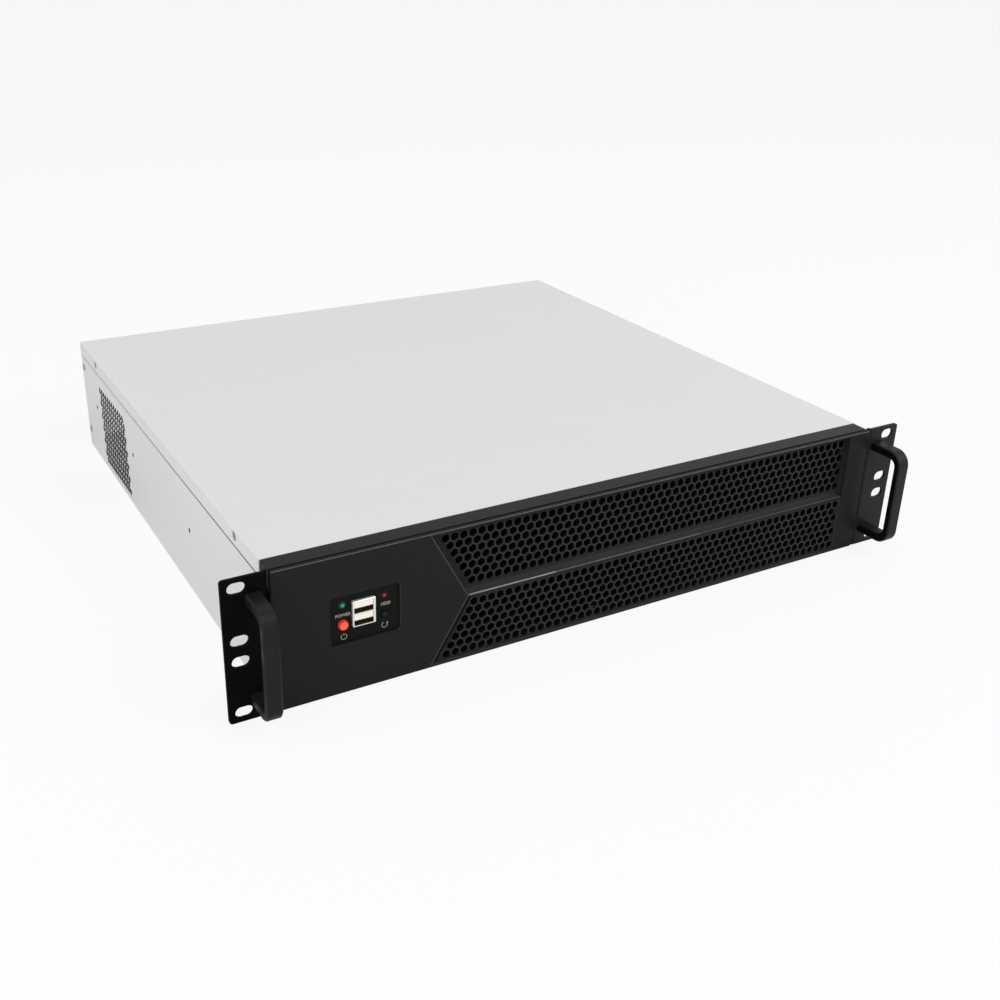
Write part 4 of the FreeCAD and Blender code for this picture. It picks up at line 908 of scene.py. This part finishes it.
def build_button(name, cap_radius, look):
    """Push button: crowned cap with a rounded rim, collar behind the plate and a stem."""
    node = name + "_button"
    middle, radius, length = face_of(node)
    collar = plate_face + COLLAR_BEHIND - middle.y
    crown = [(0, 0), (0.3, -0.03), (0.55, -0.14), (0.75, -0.36), (0.9, -0.7), (1, -1.3), (1, -collar)]
    sketch = Sketch().stand(middle, FRONT)
    sketch.turned([*((cap_radius * share, height) for share, height in crown),
                   (radius, -collar), (radius, -collar - COLLAR_LENGTH),
                   (BUTTON_STEM, -collar - COLLAR_LENGTH), (BUTTON_STEM, -length), (0, -length)])
    made = sketch.make(node + "_cap", look, body=node, replaces=[node], smooth=40)
    # the crown's lighter middle is a painted highlight
    second_look(made, look + "_crown_highlight",
                lambda poly: near_axis(poly, middle, cap_radius * CROWN_HIGHLIGHT_SHARE, CROWN_HIGHLIGHT_DEPTH))


build_light("power_led", "green_lens")
build_light("hdd_led", "red_lens")
build_button("power", 3.1, "red_plastic")
build_button("reset", 2.3, "black_plastic")

USB_WALL, USB_EDGE, USB_CORNER = 0.75, 0.25, 0.5
MOUTH_LIP, MOUTH_DEPTH = 0.2, 7.4
TONGUE_SHARE, TONGUE_GAP, TONGUE_FRONT, TONGUE_ROOT = 0.54, 0.05, 0.25, 7.5
# CONTACT_PITCH is a share of the mouth's width, TONGUE_SHARE one of its height.
CONTACTS, CONTACT_PITCH, CONTACT_HALF = 4, 0.2, 0.6
CONTACT_DROP, CONTACT_FRONT = (0.2, 1.3), 1.4


def build_usb():
    """Twin port: bright folded shell, and a pale tongue over dark contacts in each mouth."""
    low, high = span("usb_shell")
    middle = (low + high) / 2
    half_x, half_z = (high.x - low.x) / 2, (high.z - low.z) / 2
    front = Vector((middle.x, low.y, middle.z))
    rise = (2 * half_z - 3 * USB_WALL) / 2
    left, right = -half_x + USB_WALL, half_x - 2 * USB_WALL
    mouths = [(left, bottom, right, bottom + rise) for bottom in (-USB_WALL / 2 - rise, USB_WALL / 2)]

    def shell_loop(inset):
        return rounded_loop(-half_x + inset, -half_z + inset, half_x - inset, half_z - inset, USB_CORNER, 3)

    def in_mouth(poly):
        apart = poly.center / MM - front
        return abs(apart.x) < half_x - USB_WALL / 2 and abs(apart.z) < half_z - USB_WALL / 2 \
            and MOUTH_LIP + 0.1 < apart.y < MOUTH_DEPTH + 0.1

    shell = Sketch().stand(front, FRONT)
    rings = ((USB_EDGE, 0.0), (0.0, -USB_EDGE), (0.0, low.y - high.y))
    shell.stack([shell.add(shell_loop(inset), height) for inset, height in rings], back=True)
    loops = [rectangle(*mouth) for mouth in mouths]
    places, faces = punch(shell_loop(USB_EDGE), loops, (), [inside(loop) for loop in loops])
    shell.sheet(places, faces, 0.0)
    for loop in loops:
        shell.stack([shell.add(loop, -depth) for depth in (0.0, MOUTH_LIP, MOUTH_DEPTH)], back=True)
    made = shell.make("usb_ports", "usb_bright", replaces=["usb_shell"], smooth=30)
    # painted shade on the shell's walls and backs inside the mouths
    second_look(made, "usb_painted_shade", in_mouth)

    tongues = Sketch().stand(front, FRONT)
    contacts = Sketch().stand(front, FRONT)
    for a0, _, a1, top in mouths:
        under = top - rise * TONGUE_SHARE
        tongues.box((a0 + TONGUE_GAP, under, -TONGUE_ROOT),
                    (a1 - TONGUE_GAP, top - TONGUE_GAP, -TONGUE_FRONT), 0.12)
        for step in range(1, CONTACTS + 1):
            across = a0 + (a1 - a0) * CONTACT_PITCH * step
            contacts.box((across - CONTACT_HALF, under - CONTACT_DROP[1], -MOUTH_DEPTH),
                         (across + CONTACT_HALF, under - CONTACT_DROP[0], -CONTACT_FRONT), 0.04)
    tongues.make("usb_tongues", "cream_plastic", replaces=["usb_inserts"], smooth=30)
    contacts.make("usb_contacts", "usb_contact", smooth=30)


build_usb()


# ---- printing on the control plate: places are across from its middle and up from the underside ------
# Letters are thickened by LETTER_SPREAD, in metres; the rest is in millimetres.
PRINT_DEPTH = 0.06
LETTER, CAPITAL_SHARE, LETTER_SPREAD = 1.9, 0.72, 0.00009
LINE, SIGN_RADIUS = 0.42, 1.75
WORDS = {"POWER": (-12.3, 50.0), "HDD": (13.6, 50.6)}
POWER_SIGN, RESET_SIGN = (-12.0, 36.3), (12.8, 37.2)
# Start and end of each sign's round stroke, in degrees.
POWER_ARC, RESET_ARC = (-235, 55), (-250, 40)
plate_middle = (span("power_led")[0].x + span("hdd_led")[1].x) / 2


def word(text, across, up):
    """A printed word, centred on its place."""
    curve = bpy.data.curves.new("print_" + text.lower(), "FONT")
    curve.body = text
    curve.size = LETTER / CAPITAL_SHARE * MM
    curve.align_x, curve.align_y = "CENTER", "CENTER"
    curve.extrude = PRINT_DEPTH / 2 * MM
    curve.offset = LETTER_SPREAD
    curve.materials.append(LOOKS["print_white"])
    made = bpy.data.objects.new("print_" + text.lower(), curve)
    bpy.context.scene.collection.objects.link(made)
    place = Vector((plate_middle + across, plate_face - PRINT_DEPTH / 2, BASE + up)) * MM
    made.matrix_world = Matrix.Translation(place) @ Matrix.Rotation(math.pi / 2, 4, "X")
    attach(made, "case")


def stroke(sketch, path):
    """A printed line along a path, as thick as the ink."""
    path = [Vector(p) for p in path]
    sections = []
    for i, p in enumerate(path):
        ahead = (path[min(i + 1, len(path) - 1)] - path[max(i - 1, 0)]).normalized()
        side = Vector((-ahead.y, ahead.x)) * LINE / 2
        left, right = tuple(p + side), tuple(p - side)
        sections.append(sketch.add([left, right], PRINT_DEPTH) + sketch.add([right, left], 0.0))
    sketch.stack(sections, front=True, back=True)


def arc(radius, start, end, count=20):
    """Points along a round stroke, between two angles in degrees."""
    return [(radius * math.cos(math.radians(a)), radius * math.sin(math.radians(a)))
            for a in np.linspace(start, end, count)]


def build_print():
    """The two words, the power sign and the reset arrow."""
    for text, place in WORDS.items():
        word(text, *place)
    marks = Sketch()
    for (across, up), turn, line in ((POWER_SIGN, POWER_ARC, [(0, 0.6), (0, 2.3)]),
                                    (RESET_SIGN, RESET_ARC, [(0.9, 0.5), (1.45, 1.35), (2.3, 1.0)])):
        marks.stand((plate_middle + across, plate_face, BASE + up), FRONT)
        stroke(marks, arc(SIGN_RADIUS, *turn))
        stroke(marks, line)
    marks.make("print_marks", "print_white", smooth=0)


build_print()


# ---- camera, light and floor ------------------------------------------------------------------------
# Places and lamp sizes are in metres, the sensor and the lens in millimetres, the shift in sensor widths.
CAMERA_PLACE = (-0.39577, -0.52529, 0.34888)
CAMERA_RIGHT = (0.87568, -0.48260, 0.01687)
CAMERA_UP = (0.18853, 0.37384, 0.90813)
CAMERA_AHEAD = (0.44457, 0.79205, -0.41834)
SENSOR, LENS = 36, 43.31
SHIFT = (0.0400, -0.0200)
NEAREST = 0.01
LAMPS = {"key": dict(place=(1.3, -1.3, 1.7), target=(0, 0.15, 0), size=1.4, power=25),
         "fill": dict(place=(-1.7, -0.8, 1.0), target=(0, 0.1, 0), size=1.6, power=18)}
SKY_STRENGTH = 0.55
# FLOOR_GLOW is the share of the floor's own light where it is seen directly.
FLOOR_REACH, FLOOR_COLOUR, FLOOR_GLOW = 40, (0.9, 0.9, 0.9, 1), 0.86


def set_camera():
    camera = bpy.data.objects.new("camera", bpy.data.cameras.new("camera"))
    bpy.context.scene.collection.objects.link(camera)
    turn = Matrix((CAMERA_RIGHT, CAMERA_UP, -Vector(CAMERA_AHEAD))).transposed().to_4x4()
    camera.matrix_world = Matrix.Translation(CAMERA_PLACE) @ turn
    camera.data.sensor_width = SENSOR
    camera.data.lens = LENS
    camera.data.shift_x, camera.data.shift_y = SHIFT
    camera.data.clip_start = NEAREST
    bpy.context.scene.camera = camera


def area_light(name, place, target, size, power):
    """A square lamp that looks from its place at a target."""
    lamp = bpy.data.objects.new(name, bpy.data.lights.new(name, "AREA"))
    bpy.context.scene.collection.objects.link(lamp)
    lamp.data.size = size
    lamp.data.energy = power
    lamp.location = place
    lamp.rotation_euler = (Vector(target) - Vector(place)).to_track_quat("-Z", "Y").to_euler()


def math_node(tree, operation, first, second):
    """A math node over two outputs, or over an output and a number."""
    made = tree.nodes.new("ShaderNodeMath")
    made.operation = operation
    for socket, value in zip(made.inputs, (first, second)):
        if isinstance(value, float):
            socket.default_value = value
        else:
            tree.links.new(value, socket)
    return made.outputs[0]


def set_sky():
    """White when seen directly, in reflections or through glass; as a light it has its own strength."""
    world = bpy.data.worlds.new("studio")
    bpy.context.scene.world = world
    world.use_nodes = True
    tree = world.node_tree
    path = tree.nodes.new("ShaderNodeLightPath")
    seen = math_node(tree, "MAXIMUM", path.outputs["Is Camera Ray"], path.outputs["Is Glossy Ray"])
    seen = math_node(tree, "MAXIMUM", seen, path.outputs["Is Transmission Ray"])
    level = tree.nodes.new("ShaderNodeMix")
    tree.links.new(seen, level.inputs["Factor"])
    level.inputs["A"].default_value = SKY_STRENGTH
    level.inputs["B"].default_value = 1.0
    sky = tree.nodes["Background"]
    sky.inputs["Color"].default_value = (1, 1, 1, 1)
    tree.links.new(level.outputs["Result"], sky.inputs["Strength"])


def set_floor():
    """Pale matt floor, mostly glowing where it is seen, so that it is white and keeps the shadow."""
    mesh = bpy.data.meshes.new("floor")
    corners = rectangle(-FLOOR_REACH, -FLOOR_REACH, FLOOR_REACH, FLOOR_REACH)
    mesh.from_pydata([(x, y, BASE * MM) for x, y in corners], [], [(0, 1, 2, 3)])
    floor = bpy.data.objects.new("floor", mesh)
    bpy.context.scene.collection.objects.link(floor)
    look = bpy.data.materials.new("floor")
    look.use_nodes = True
    tree = look.node_tree
    tree.nodes.remove(tree.nodes["Principled BSDF"])
    matt = tree.nodes.new("ShaderNodeBsdfDiffuse")
    matt.inputs["Color"].default_value = FLOOR_COLOUR
    glow = tree.nodes.new("ShaderNodeEmission")
    path = tree.nodes.new("ShaderNodeLightPath")
    mix = tree.nodes.new("ShaderNodeMixShader")
    share = math_node(tree, "MULTIPLY", path.outputs["Is Camera Ray"], FLOOR_GLOW)
    for source, socket in zip((share, matt.outputs[0], glow.outputs[0]), mix.inputs):
        tree.links.new(source, socket)
    tree.links.new(mix.outputs[0], tree.nodes["Material Output"].inputs["Surface"])
    mesh.materials.append(look)


set_camera()
set_sky()
set_floor()
for name, lamp in LAMPS.items():
    area_light(name, **lamp)
bpy.context.scene.view_settings.view_transform = "Standard"
bpy.context.view_layer.update()
